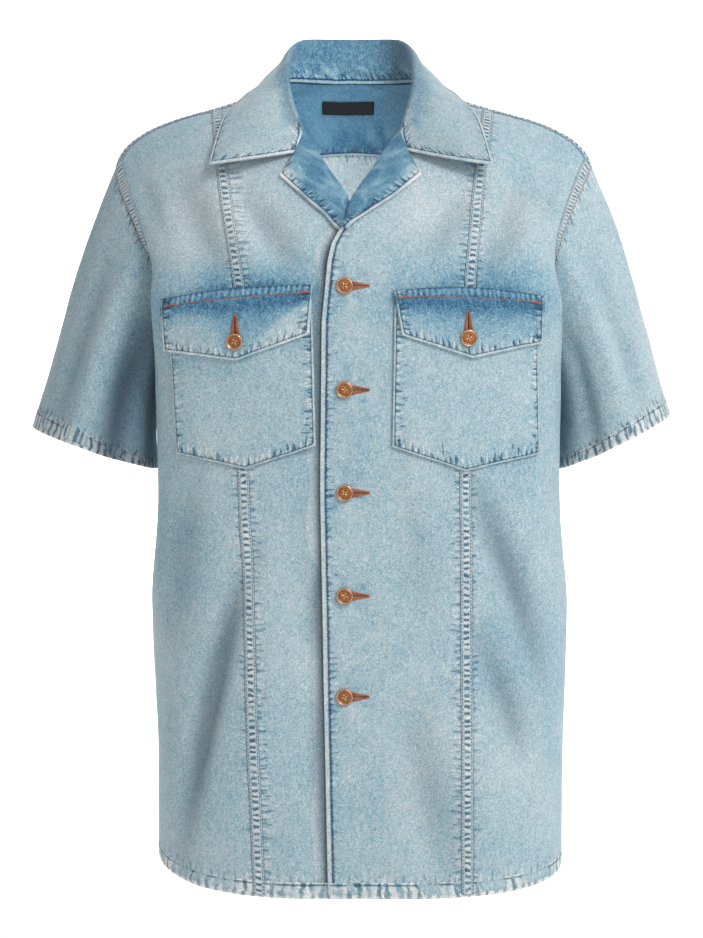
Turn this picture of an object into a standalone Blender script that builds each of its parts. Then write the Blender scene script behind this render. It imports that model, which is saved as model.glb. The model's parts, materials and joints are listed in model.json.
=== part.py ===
"""Short-sleeved denim shirt with an open camp collar, filled out as if worn.

Metres, +Z up, +X to the wearer's left, -Y to the wearer's front. The origin lies between
the shoulders at the foot of the neck, where the wearer carries the shirt.

Each half of the body is one loft. Its sections run from the centre of the body out to the
side, and they follow one another from the front hem up the front, over the shoulder and
down the back to the back hem. Every panel is a stretch of that loft, and everything that
lies on a panel is made from the loft's points, moved out along its normals.
"""

import math
from collections import namedtuple

import bmesh
import bpy
from mathutils import Vector
from mathutils.bvhtree import BVHTree

# ---------------------------------------------------------------- driving sizes
CLOTH = 0.0012  # one layer of denim
DOUBLE = 0.0022  # two layers: collar, lapels and flaps
HEM_CLOTH = 0.0024  # a turned-up hem
SEAM_GAP = 0.0003  # between neighbouring pieces
LAY_GAP = 0.0007  # under a piece that lies on another
FELL_RAISE = 0.0008  # a felled seam stands this far proud
FELL_WIDTH = 0.0095
STEP = 0.0008  # width of the small step at a felled seam's edge
BODY_HEM = 0.0135
SLEEVE_HEM = 0.0160
INNER_YOKE_DEPTH = CLOTH + SEAM_GAP
LAP_GAP = 0.0004  # between the left front and the right front under it
LAPEL_SINK = 0.0060  # the right front lies this much deeper where both lapels cross
BUTTON_X = -0.0087  # line of the front buttons
FRONT_BUTTON_Z = (-0.1812, -0.2768, -0.3714, -0.4660, -0.5587)
BUTTON_RADIUS = 0.0078
BUTTON_HEIGHT = 0.0032
BUTTON_SEAT = 0.0004  # gap under a button
LABEL_WIDTH = 0.0510
LABEL_HEIGHT = 0.0110
LABEL_X = -0.0057
LABEL_Z = 0.0083
LABEL_CLOTH = 0.0010
COLLAR_X = -0.0030  # centre of the collar

LEFT = 1  # the wearer's left, at +X
RIGHT = -1
SIDE_NAME = {LEFT: "left", RIGHT: "right"}

DENIM = ("denim", (0.40, 0.54, 0.61), 0.85, 0.0)
DARK_DENIM = ("denim_dark", (0.10, 0.24, 0.36), 0.85, 0.0)
MID_DENIM = ("denim_mid", (0.25, 0.44, 0.56), 0.85, 0.0)
COPPER = ("copper", (0.62, 0.30, 0.13), 0.30, 1.0)
LABEL_BLACK = ("label_black", (0.012, 0.012, 0.016), 0.70, 0.0)

# ---------------------------------------------------------------- body sections
# One row for each section: the four control points of its cubic curve. in_ is its end at the
# centre of the body, on the roll line or on the neckline. near_ and far_ are its handles, and
# out_ is its end at the side seam, the armhole or the shoulder tip. The right half mirrors the
# left about a centre that runs from in_mid at the inner end to out_mid at the outer one.
Section = namedtuple(
    "Section",
    "name in_mid out_mid in_x in_y in_z near_x near_y near_z far_x far_y far_z out_x out_y out_z",
)
SECTIONS = [
    Section("front_hem", 0.0060, 0.0060, 0, -0.118, -0.7440, 0.120, -0.118, -0.7480,
            0.1990, -0.086, -0.7375, 0.1915, 0.000, -0.7125),
    Section("front_hip", 0.0062, 0.0062, 0, -0.121, -0.620, 0.122, -0.121, -0.620,
            0.2010, -0.092, -0.617, 0.1925, 0.000, -0.6120),
    Section("front_waist", 0.0050, 0.0050, 0, -0.125, -0.480, 0.124, -0.125, -0.480,
            0.2065, -0.094, -0.479, 0.1970, 0.000, -0.4780),
    Section("front_sleeve_hem", 0.0045, 0.0045, 0, -0.128, -0.365, 0.124, -0.128, -0.365,
            0.2310, -0.086, -0.363, 0.1740, 0.000, -0.3620),
    Section("front_underarm", 0.0040, 0.0040, 0, -0.129, -0.272, 0.122, -0.129, -0.272,
            0.2520, -0.082, -0.268, 0.1600, 0.000, -0.2640),
    Section("front_armhole", 0.0020, 0.0020, 0, -0.127, -0.198, 0.118, -0.127, -0.198,
            0.2440, -0.106, -0.197, 0.1700, -0.046, -0.1950),
    Section("break", -0.0020, -0.0020, 0, -0.120, -0.136, 0.105, -0.120, -0.137,
            0.1930, -0.100, -0.140, 0.1935, -0.055, -0.1435),
    Section("crossing", -0.0035, -0.0035, 0, -0.113, -0.117, 0.096, -0.115, -0.117,
            0.1860, -0.094, -0.122, 0.2010, -0.048, -0.1260),
    Section("lapel", -0.0035, -0.0035, 0.0262, -0.090, -0.068, 0.088, -0.102, -0.068,
            0.1820, -0.078, -0.078, 0.2140, -0.033, -0.0970),
    Section("gorge", -0.0025, -0.0025, 0.0475, -0.064, -0.034, 0.094, -0.070, -0.022,
            0.1860, -0.050, -0.040, 0.2230, -0.017, -0.0760),
    Section("shoulder", -0.0030, 0.0000, 0.0830, -0.006, 0.016, 0.110, -0.007, -0.012,
            0.2120, -0.008, -0.008, 0.2280, -0.003, -0.0600),
    Section("ridge", -0.0030, 0.0000, 0.0820, 0.022, 0.025, 0.108, 0.022, -0.010,
            0.2120, 0.016, -0.004, 0.2265, 0.009, -0.0640),
    Section("neck_back", -0.0030, 0.0000, 0.0560, 0.060, 0.031, 0.096, 0.058, 0.002,
            0.1980, 0.040, -0.012, 0.2230, 0.021, -0.0740),
    Section("nape", -0.0030, 0.0000, 0, 0.077, 0.031, 0.072, 0.077, 0.020,
            0.1800, 0.066, -0.030, 0.2160, 0.034, -0.0920),
    Section("neck_fall", -0.0030, 0.0000, 0, 0.086, 0.014, 0.080, 0.086, 0.002,
            0.1790, 0.073, -0.042, 0.2110, 0.040, -0.1040),
    Section("yoke", -0.0010, 0.0000, 0, 0.106, -0.026, 0.092, 0.106, -0.030,
            0.1780, 0.088, -0.066, 0.2040, 0.048, -0.1220),
    Section("blade", 0.0020, 0.0020, 0, 0.122, -0.100, 0.105, 0.122, -0.102,
            0.1830, 0.102, -0.126, 0.1860, 0.054, -0.1640),
    Section("back_armhole", 0.0030, 0.0030, 0, 0.127, -0.182, 0.114, 0.127, -0.184,
            0.2160, 0.106, -0.196, 0.1680, 0.044, -0.2140),
    Section("back_underarm", 0.0040, 0.0040, 0, 0.125, -0.268, 0.118, 0.125, -0.268,
            0.2200, 0.088, -0.266, 0.1600, 0.000, -0.2640),
    Section("back_sleeve_hem", 0.0045, 0.0045, 0, 0.119, -0.365, 0.120, 0.119, -0.365,
            0.2060, 0.090, -0.363, 0.1740, 0.000, -0.3620),
    Section("back_waist", 0.0050, 0.0050, 0, 0.112, -0.480, 0.122, 0.112, -0.480,
            0.2040, 0.092, -0.479, 0.1970, 0.000, -0.4780),
    Section("back_hip", 0.0062, 0.0062, 0, 0.111, -0.620, 0.122, 0.111, -0.620,
            0.2010, 0.088, -0.617, 0.1925, 0.000, -0.6120),
    Section("back_hem", 0.0060, 0.0060, 0, 0.112, -0.7440, 0.120, 0.112, -0.7480,
            0.1990, 0.084, -0.7375, 0.1915, 0.000, -0.7125),
]
ROW = {section.name: index for index, section in enumerate(SECTIONS)}
LAST_ROW = len(SECTIONS) - 1
HEM_TILT = 0.0045  # the hem hangs this much lower at the left side and higher at the right

# How many steps of mesh lie between one section and the next, in the same order.
FRONT_STEPS = (4, 5, 5, 4, 4, 3, 1, 2, 2, 3)
YOKE_STEPS = (2, 2, 2, 1, 3)
BACK_STEPS = (3, 3, 3, 4, 4, 5, 5)
YOKE_COLUMNS = 9  # steps from the centre of the back to an armhole

# ---------------------------------------------------------------- lines on the fronts
# The front edges, and the princess seams on the outer edge of their felled strips.
Line = namedtuple("Line", "z x")
LEFT_EDGE = [
    Line(-0.744, -0.0237), Line(-0.550, -0.0277), Line(-0.370, -0.0310), Line(-0.213, -0.0295),
    Line(-0.157, -0.0241), Line(-0.1415, -0.0203), Line(-0.1305, -0.0145), Line(-0.117, -0.0035),
]
RIGHT_EDGE = [
    Line(-0.744, 0.0110), Line(-0.145, 0.0110), Line(-0.134, 0.0070), Line(-0.117, -0.0035),
]
LEFT_PRINCESS = [
    Line(-0.744, 0.1092), Line(-0.433, 0.1072), Line(-0.350, 0.1070), Line(-0.172, 0.1113),
    Line(-0.069, 0.1220), Line(0.000, 0.1330),
]
RIGHT_PRINCESS = [
    Line(-0.744, -0.0905), Line(-0.433, -0.1030), Line(-0.350, -0.1065), Line(-0.181, -0.1100),
    Line(-0.069, -0.1210), Line(0.000, -0.1340),
]
ROLL_LEAN = 0.65  # the left roll line moves out this much for each unit of height
EDGE = {LEFT: LEFT_EDGE, RIGHT: RIGHT_EDGE}
PRINCESS = {LEFT: LEFT_PRINCESS, RIGHT: RIGHT_PRINCESS}

# ---------------------------------------------------------------- folds
# A fold runs from one point to another on the front or the back, as seen from there. width is
# half its breadth, and depth is how far it stands out, or lies in where it is negative.
Fold = namedtuple("Fold", "face from_x from_z to_x to_z width depth")
FOLDS = [
    Fold("front", -0.168, -0.066, -0.120, -0.175, 0.015, -0.0050),
    Fold("front", -0.112, -0.084, -0.046, -0.172, 0.014, -0.0045),
    Fold("front", -0.140, -0.070, -0.082, -0.176, 0.013, 0.0030),
    Fold("front", 0.168, -0.072, 0.122, -0.178, 0.016, -0.0042),
    Fold("front", 0.118, -0.080, 0.060, -0.160, 0.015, -0.0030),
    Fold("front", -0.098, -0.445, -0.160, -0.690, 0.020, -0.0060),
    Fold("front", -0.060, -0.480, -0.105, -0.700, 0.022, 0.0030),
    Fold("front", -0.150, -0.380, -0.172, -0.520, 0.018, -0.0045),
    Fold("front", 0.108, -0.371, 0.180, -0.575, 0.020, -0.0055),
    Fold("front", 0.108, -0.500, 0.168, -0.655, 0.018, -0.0050),
    Fold("front", 0.050, -0.560, 0.090, -0.735, 0.020, -0.0035),
    Fold("front", 0.160, -0.600, 0.182, -0.720, 0.018, 0.0040),
    Fold("back", -0.150, -0.120, -0.098, -0.330, 0.022, -0.0060),
    Fold("back", 0.142, -0.130, 0.104, -0.300, 0.020, -0.0052),
    Fold("back", -0.075, -0.090, -0.060, -0.260, 0.020, 0.0036),
    Fold("back", 0.060, -0.330, 0.098, -0.640, 0.024, -0.0062),
    Fold("back", -0.100, -0.380, -0.150, -0.690, 0.022, -0.0068),
    Fold("back", -0.020, -0.420, 0.012, -0.735, 0.026, 0.0048),
    Fold("back", 0.130, -0.450, 0.165, -0.735, 0.018, 0.0045),
]

# A sleeve's fold runs along it. turn is its place round the sleeve, 0 at the shoulder, 0.25 at
# the front and 0.5 under the arm; start and end are shares of the sleeve's length.
SleeveFold = namedtuple("SleeveFold", "side turn start end width depth")
SLEEVE_FOLDS = [
    SleeveFold(RIGHT, 0.17, 0.10, 0.85, 0.030, -0.0035),
    SleeveFold(RIGHT, 0.27, 0.25, 1.00, 0.035, -0.0055),
    SleeveFold(RIGHT, 0.35, 0.15, 1.00, 0.030, 0.0045),
    SleeveFold(RIGHT, 0.70, 0.15, 0.95, 0.040, -0.0060),
    SleeveFold(RIGHT, 0.84, 0.30, 1.00, 0.035, 0.0040),
    SleeveFold(LEFT, 0.20, 0.20, 0.95, 0.030, -0.0030),
    SleeveFold(LEFT, 0.33, 0.10, 1.00, 0.035, -0.0050),
    SleeveFold(LEFT, 0.26, 0.35, 1.00, 0.030, 0.0035),
    SleeveFold(LEFT, 0.66, 0.20, 1.00, 0.040, -0.0055),
    SleeveFold(LEFT, 0.80, 0.10, 0.90, 0.035, -0.0040),
]

# Sleeve hems: the outer and inner ends of the hem as seen from the front, and its depth.
SleeveEnd = namedtuple("SleeveEnd", "side outer_x outer_z inner_x inner_z front_y back_y")
SLEEVE_ENDS = [
    SleeveEnd(RIGHT, -0.3080, -0.3077, -0.1880, -0.3475, -0.066, 0.074),
    SleeveEnd(LEFT, 0.3035, -0.2960, 0.1935, -0.3480, -0.066, 0.074),
]
SLEEVE_LONG = 8  # steps of mesh along a sleeve
SLEEVE_LENGTH = 0.25
PIT_BULGE = 0.034  # how far the underarm first runs outward
CAP_BULGE = 0.012  # and the shoulder
HEM_FRONT_DROP = 0.004  # the sleeve's hem hangs this much lower at the front

# ---------------------------------------------------------------- collar
# One row for each station from the centre of the back to the gorge. seam is its place on the
# neckline, in sections past the shoulder seam. roll_ is the top of the fold, edge_ the leaf's
# outer edge, and swell how far the leaf bows out between them. x is from COLLAR_X.
Station = namedtuple("Station", "seam roll_x roll_y roll_z edge_x edge_y edge_z swell")
COLLAR = [
    Station(3.00, 0.0000, 0.0800, 0.0735, 0.0000, 0.1060, 0.0080, 0.0030),
    Station(2.55, 0.0260, 0.0775, 0.0735, 0.0310, 0.1035, 0.0075, 0.0030),
    Station(2.05, 0.0430, 0.0650, 0.0710, 0.0560, 0.0940, 0.0070, 0.0020),
    Station(1.55, 0.0535, 0.0450, 0.0610, 0.0720, 0.0720, 0.0070, 0.0010),
    Station(0.95, 0.0570, 0.0200, 0.0500, 0.0870, 0.0400, 0.0100, 0.0000),
    Station(0.25, 0.0580, -0.0050, 0.0380, 0.1000, 0.0000, 0.0060, 0.0000),
    Station(-0.25, 0.0580, -0.0290, 0.0190, 0.1200, -0.0480, -0.0190, 0.0030),
    Station(-0.60, 0.0535, -0.0480, -0.0050, 0.1310, -0.0990, -0.0667, 0.0050),
    Station(-0.82, 0.0480, -0.0590, -0.0205, 0.0930, -0.1040, -0.0620, 0.0050),
    Station(-1.00, 0.0430, -0.0660, -0.0300, 0.0510, -0.1020, -0.0540, 0.0040),
]
COLLAR_FOLD = 0.0022  # radius of the fold along the roll line
LEAF_REST = FELL_RAISE + LAY_GAP + SEAM_GAP + DOUBLE / 2  # from the body to the leaf's middle
LEAF_FROM_STAND = DOUBLE + LAY_GAP  # between the middles of the stand and the leaf
FREE_OF_BODY = 0.015
LEAF_STEPS = 5

# ---------------------------------------------------------------- lapels
# The lapel's outline from the notch to the break, seen from the front. along is the place on
# the roll line that it lies opposite, from the gorge, 0, to the break, 1.
Corner = namedtuple("Corner", "along x z")
LEFT_LAPEL = [
    Corner(0.00, 0.0491, -0.0528), Corner(0.24, 0.0620, -0.0765), Corner(0.44, 0.0373, -0.0969),
    Corner(0.57, 0.0175, -0.1101), Corner(0.72, -0.0012, -0.1228), Corner(0.90, -0.0105, -0.1325),
]
RIGHT_LAPEL = [
    Corner(0.00, -0.0547, -0.0556), Corner(0.24, -0.0685, -0.0775), Corner(0.49, -0.0405, -0.1033),
    Corner(0.67, -0.0166, -0.1241), Corner(0.86, -0.0060, -0.1330),
]
LAPEL = {LEFT: LEFT_LAPEL, RIGHT: RIGHT_LAPEL}
LAPEL_STEPS = 10
LAPEL_END = {LEFT: 0.82, RIGHT: 0.74}  # how far down the roll line each leaf runs

# ---------------------------------------------------------------- patches on the fronts
# Pockets and flaps as seen from the front: the four corners, how far the lower edge's point
# hangs below its corners, and how far the upper edge arches.
Patch = namedtuple(
    "Patch",
    "name side top_out_x top_out_z top_in_x top_in_z"
    " low_out_x low_out_z low_in_x low_in_z drop arch",
)
POCKETS = [
    Patch("pocket_right", RIGHT, -0.1715, -0.2060, -0.0385, -0.1950,
          -0.1640, -0.3345, -0.0352, -0.3279, 0.0180, 0.002),
    Patch("pocket_left", LEFT, 0.1700, -0.2030, 0.0372, -0.1995,
          0.1702, -0.3350, 0.0350, -0.3290, 0.0190, 0.003),
]
FLAPS = [
    Patch("flap_right", RIGHT, -0.1770, -0.1925, -0.0375, -0.1811,
          -0.1740, -0.2385, -0.0411, -0.2257, 0.0172, 0.003),
    Patch("flap_left", LEFT, 0.1737, -0.1900, 0.0363, -0.1863,
          0.1726, -0.2314, 0.0439, -0.2268, 0.0178, 0.005),
]
POCKET_LIFT = FELL_RAISE + LAY_GAP
FLAP_LIFT = POCKET_LIFT + CLOTH + LAY_GAP
FLAP_BUTTONS = {RIGHT: (-0.1086, -0.2316), LEFT: (0.1042, -0.2287)}


# ---------------------------------------------------------------- smooth curves through rows
def distance_knots(rows):
    """Distance along the body at each section, as the mean of its inner and outer ends."""
    knots = [0.0]
    for a, b in zip(rows, rows[1:]):
        inner = Vector((a.in_x - b.in_x, a.in_y - b.in_y, a.in_z - b.in_z)).length
        outer = Vector((a.out_x - b.out_x, a.out_y - b.out_y, a.out_z - b.out_z)).length
        knots.append(knots[-1] + (inner + outer) / 2)
    return knots


def slopes_through(knots, values):
    """Slopes into and out of each value, for a curve that never swings past the values."""
    rises = [(b - a) / (q - p) for a, b, p, q in zip(values, values[1:], knots, knots[1:])]
    slopes = [rises[0]]
    for before, after in zip(rises, rises[1:]):
        slopes.append(0.0 if before * after <= 0 else 2 * before * after / (before + after))
    slopes.append(rises[-1])
    return [(slope, slope) for slope in slopes]


def turn_corner(name, values, slopes):
    """At the nape the inner ends turn from the neckline, across, to the centre back, down."""
    nape = ROW["nape"]
    if name == "in_x":
        slopes[nape] = ((values[nape] - values[nape - 1]) / (KNOTS[nape] - KNOTS[nape - 1]), 0.0)
    elif name in ("in_y", "in_z"):
        slopes[nape] = (0.0, (values[nape + 1] - values[nape]) / (KNOTS[nape + 1] - KNOTS[nape]))
    return slopes


def value_between(knots, values, slopes, place):
    """The curve's value at a place counted in rows."""
    index = min(max(int(place), 0), len(values) - 2)
    step = place - index
    span = knots[index + 1] - knots[index]
    rest = 1 - step
    return (
        values[index] * (1 + 2 * step) * rest * rest
        + span * slopes[index][1] * step * rest * rest
        + values[index + 1] * step * step * (3 - 2 * step)
        - span * slopes[index + 1][0] * step * step * rest
    )


KNOTS = distance_knots(SECTIONS)
COLUMNS = [list(column) for column in zip(*[section[1:] for section in SECTIONS])]
SLOPES = [
    turn_corner(name, column, slopes_through(KNOTS, column))
    for name, column in zip(Section._fields[1:], COLUMNS)
]
SECTION_CACHE = {}


def section_at(row):
    """Both centres and the control points of the section at a row, or between two rows."""
    key = round(row, 6)
    if key not in SECTION_CACHE:
        values = [value_between(KNOTS, c, s, row) for c, s in zip(COLUMNS, SLOPES)]
        points = [Vector(values[i : i + 3]) for i in (2, 5, 8, 11)]
        SECTION_CACHE[key] = (values[0], values[1], points)
    return SECTION_CACHE[key]


def bare_point(side, row, across):
    """A point of the body without folds. Below 0, across runs on into the other half."""
    if across < 0:
        side, across = -side, -across
    in_mid, out_mid, (inner, near, far, outer) = section_at(row)
    rest = 1 - across
    point = (
        inner * rest**3 + near * 3 * across * rest**2 + far * 3 * across**2 * rest + outer * across**3
    )
    hem_share = max(0.0, 1 - min(row, LAST_ROW - row)) ** 2
    drop = -side * HEM_TILT * hem_share * across**2
    return Vector((in_mid + (out_mid - in_mid) * across + side * point.x, point.y, point.z + drop))


def facing(side, row, across, shape):
    """The outward normal of a shape of the body."""
    if across < 0:
        side, across = -side, -across
    step = 0.004
    low, high = max(row - step, 0.0), min(row + step, LAST_ROW)
    if abs(row - ROW["nape"]) < step:
        low = ROW["nape"]
    along = shape(side, high, across) - shape(side, low, across)
    start, end = across - step, min(across + step, 1.0)
    across_way = shape(side, row, end) - shape(side, row, start)
    return side * across_way.cross(along).normalized()


def fold_depth(point, normal):
    """How far the folds move this point of the body along its normal."""
    face = "front" if normal.y < 0 else "back"
    total = 0.0
    for fold in FOLDS:
        if fold.face != face:
            continue
        run = Vector((fold.to_x - fold.from_x, fold.to_z - fold.from_z))
        offset = Vector((point.x - fold.from_x, point.z - fold.from_z))
        along = offset.dot(run) / run.length_squared
        if -0.1 < along < 1.1:
            away = (offset - run * along).length
            taper = math.sin(math.pi * (along + 0.1) / 1.2)
            total += fold.depth * taper * math.exp(-((away / fold.width) ** 2))
    return total * abs(normal.y)


def body_point(side, row, across):
    """A point of the body's outer surface, with its folds."""
    point = bare_point(side, row, across)
    normal = facing(side, row, across, bare_point)
    return point + normal * fold_depth(point, normal)


def line_x(line, z):
    """Where a line on the front lies at a height."""
    for low, high in zip(line, line[1:]):
        if z <= high.z:
            share = max(0.0, (z - low.z) / (high.z - low.z))
            return low.x + (high.x - low.x) * share
    return line[-1].x


def across_at(side, row, target, low=-0.4, high=0.62):
    """The place across a section where target, a function of the point, gives x."""
    for _ in range(26):
        middle = (low + high) / 2
        point = bare_point(side, row, middle)
        if side * (point.x - target(point.z)) < 0:
            low = middle
        else:
            high = middle
    return (low + high) / 2


def place_at(side, x, z, back=False):
    """Row and place across of the body point that is seen at x, z from the front or back."""
    low, high = (ROW["nape"] + 0.2, LAST_ROW) if back else (0.0, ROW["shoulder"] - 0.3)
    for _ in range(24):
        row = (low + high) / 2
        across = across_at(side, row, lambda _: x)
        above = bare_point(side, row, across).z > z
        if above == back:
            low = row
        else:
            high = row
    return row, across


def edge_place(side, row):
    """Where a front's edge lies across a section; on its inner end above the crossing."""
    if row >= ROW["crossing"]:
        return 0.0
    return across_at(side, row, lambda z: line_x(EDGE[side], z))


def smooth_step(low, high, value):
    share = min(max((value - low) / (high - low), 0.0), 1.0)
    return share * share * (3 - 2 * share)


def lap_sink(side, row, point):
    """How far the right front lies in, where the left front covers it."""
    if side == LEFT:
        return 0.0
    crossing = LEFT_EDGE[-1]
    if point.z > crossing.z:
        cover = crossing.x + (point.z - crossing.z) * ROLL_LEAN
    else:
        cover = line_x(LEFT_EDGE, point.z)
    by_lapels = smooth_step(-0.185, -0.145, point.z) * (1 - smooth_step(-0.098, -0.074, point.z))
    depth = wall_depth(row) + LAP_GAP + LAPEL_SINK * by_lapels
    return depth * smooth_step(cover - 0.030, cover - 0.006, point.x)


# ---------------------------------------------------------------- walls
def rows_through(first, steps):
    """Rows with a number of even steps from each section to the next."""
    rows = [float(first)]
    for index, count in enumerate(steps):
        rows += [first + index + (step + 1) / count for step in range(count)]
    return rows


def grid_mesh(name, outer, inner, material, ring=False):
    """A closed wall between two grids of points. A ring's last column meets its first."""
    mesh = bmesh.new()
    height, width = len(outer), len(outer[0])
    faces = [[[mesh.verts.new(p) for p in line] for line in grid] for grid in (outer, inner)]
    spans = [(j, (j + 1) % width) for j in range(width if ring else width - 1)]
    for skin in faces:
        for i in range(height - 1):
            for j, k in spans:
                mesh.faces.new((skin[i][j], skin[i][k], skin[i + 1][k], skin[i + 1][j]))
    out, back = faces
    for i in (0, height - 1):
        for j, k in spans:
            mesh.faces.new((out[i][j], out[i][k], back[i][k], back[i][j]))
    if not ring:
        for j in (0, width - 1):
            for i in range(height - 1):
                mesh.faces.new((out[i][j], out[i + 1][j], back[i + 1][j], back[i][j]))
    bmesh.ops.recalc_face_normals(mesh, faces=mesh.faces)
    data = bpy.data.meshes.new(name)
    mesh.to_mesh(data)
    mesh.free()
    return add_object(name, data, material)


def add_object(name, data, material):
    """An object in the shirt's collection, with its material."""
    data.materials.append(material_of(material))
    data.shade_smooth()
    data.set_sharp_from_angle(angle=math.radians(35))
    item = bpy.data.objects.new(name, data)
    SHIRT.objects.link(item)
    return item


def material_of(material):
    name, colour, roughness, metallic = material
    if name not in bpy.data.materials:
        shader = bpy.data.materials.new(name)
        shader.use_nodes = True
        shader.diffuse_color = (*colour, 1)
        principled = shader.node_tree.nodes["Principled BSDF"]
        principled.inputs["Base Color"].default_value = (*colour, 1)
        principled.inputs["Roughness"].default_value = roughness
        principled.inputs["Metallic"].default_value = metallic
    return bpy.data.materials[name]


def body_wall(name, side, rows, places, depth_of, material):
    """A wall on one half of the body: places(row) gives its columns, depth_of its two depths."""
    outer, inner = [], []
    for row in rows:
        outer_line, inner_line = [], []
        for column, across in enumerate(places(row)):
            point = body_point(side, row, across)
            normal = facing(side, row, across, body_point)
            front, back = depth_of(row, column, point)
            outer_line.append(point - normal * front)
            inner_line.append(point - normal * back)
        outer.append(outer_line)
        inner.append(inner_line)
    return grid_mesh(name, outer, inner, material)


def gap_across(side, row, across):
    """The share across a section that is half a seam gap long."""
    step = 0.01
    length = (bare_point(side, row, across) - bare_point(side, row, across - step)).length
    return step * SEAM_GAP / 2 / length


def gap_along(row, across=0.5):
    """The share of a row that is half a seam gap long."""
    step = 0.02
    length = (bare_point(LEFT, row + step, across) - bare_point(LEFT, row - step, across)).length
    return 2 * step * SEAM_GAP / 2 / length


def hem_rows(rows, height):
    """Rows with two more at the top of a turned-up hem, for its step."""
    at_start = rows[0] == 0
    edge, neighbour = (rows[0], rows[1]) if at_start else (rows[-1], rows[-2])
    length = (bare_point(LEFT, edge, 0.2) - bare_point(LEFT, neighbour, 0.2)).length
    top = edge + (neighbour - edge) * height / length
    step = edge + (neighbour - edge) * (height + STEP) / length
    return rows[:1] + [top, step] + rows[1:] if at_start else rows[:-1] + [step, top] + rows[-1:]


def wall_depth(row):
    """The wall's depth on the body: a hem is turned up, so it is thicker."""
    from_hem = min(row, LAST_ROW - row)
    section = (bare_point(LEFT, 0, 0.2) - bare_point(LEFT, 1, 0.2)).length
    return HEM_CLOTH if from_hem * section < BODY_HEM + STEP / 2 else CLOTH


# ---------------------------------------------------------------- fronts
def princess_place(side, row):
    return across_at(side, row, lambda z: line_x(PRINCESS[side], z))


def front_rows():
    rows = rows_through(ROW["front_hem"], FRONT_STEPS)
    rows[-1] -= gap_along(rows[-1])
    return hem_rows(rows, BODY_HEM)


def build_front_centre(side):
    """A centre front, from its edge to the outer edge of the felled princess seam."""
    plain_steps = 7
    crowding = 1.5  # the columns lie closer together near the edge, where the lap sinks

    def places(row):
        edge, seam = edge_place(side, row), princess_place(side, row)
        here = bare_point(side, row, seam)
        fell = across_at(side, row, lambda z: here.x - side * FELL_WIDTH)
        step = across_at(side, row, lambda z: here.x - side * (FELL_WIDTH + STEP))
        spread = [(i / plain_steps) ** crowding for i in range(plain_steps + 1)]
        end = seam - gap_across(side, row, seam)
        return [edge + (step - edge) * share for share in spread] + [fell, end]

    def depths(row, column, point):
        sink = lap_sink(side, row, point)
        raised = FELL_RAISE if column > plain_steps else 0.0
        return sink - raised, sink + wall_depth(row)

    name = f"front_centre_{SIDE_NAME[side]}"
    body_wall(name, side, front_rows(), places, depths, DENIM)


def build_front_side(side):
    """A side front, from the princess seam to the side seam and the armhole."""
    steps = 8

    def places(row):
        seam = princess_place(side, row)
        start = seam + gap_across(side, row, seam)
        end = 1 - gap_across(side, row, 1.0)
        return [start + (end - start) * (i / steps) for i in range(steps + 1)]

    def depths(row, column, point):
        return 0.0, wall_depth(row)

    body_wall(f"front_side_{SIDE_NAME[side]}", side, front_rows(), places, depths, DENIM)


# ---------------------------------------------------------------- yokes and back
def yoke_end(across):
    """The row of the yoke seam: across the shoulder blades, and higher at the armholes."""
    return ROW["yoke"] + 0.14 - 0.70 * smooth_step(0.15, 1.0, across)


def yoke_rows(across):
    """Rows of the yoke at a place across, from the shoulder seam to the yoke seam."""
    even = rows_through(ROW["shoulder"], YOKE_STEPS)
    end = yoke_end(across)
    spread = [even[0] + (row - even[0]) * (end - even[0]) / (even[-1] - even[0]) for row in even]
    spread[0] += gap_along(spread[0], across)
    spread[-1] -= gap_along(end, across)
    return spread


def back_rows(across):
    """Rows of the back at a place across, from the yoke seam to the hem."""
    top = ROW["yoke"]
    even = hem_rows(rows_through(top, BACK_STEPS), BODY_HEM)
    shift = yoke_end(across) - top
    reach = ROW["back_underarm"] - top
    spread = [row + shift * max(0.0, 1 - (row - top) / reach) for row in even]
    spread[0] += gap_along(spread[0], across)
    return spread


def back_columns():
    """Places across one half of the back, from its centre to the armhole or side seam."""
    end = 1 - gap_across(LEFT, ROW["blade"], 1.0)
    return [end * (i / YOKE_COLUMNS) ** 0.92 for i in range(YOKE_COLUMNS + 1)]


def yoke_grid(side, depth):
    """Points of one half of a yoke at a depth, from the shoulder seam to the yoke seam."""
    grid = []
    for across in back_columns():
        line = []
        for row in yoke_rows(across):
            point = body_point(side, row, across)
            line.append(point - facing(side, row, across, body_point) * depth)
        grid.append(line)
    return [list(line) for line in zip(*grid)]


def build_yoke(name, depth, material):
    """A yoke over both shoulders, open at the neck: its inner edge is the neckline."""
    skins = []
    for skin_depth in (depth, depth + CLOTH):
        skins.append(list(zip(yoke_grid(LEFT, skin_depth), yoke_grid(RIGHT, skin_depth))))
    neck_rows = sum(YOKE_STEPS[:3])
    return join_yoke(name, skins[0], skins[1], neck_rows, material)


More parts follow.
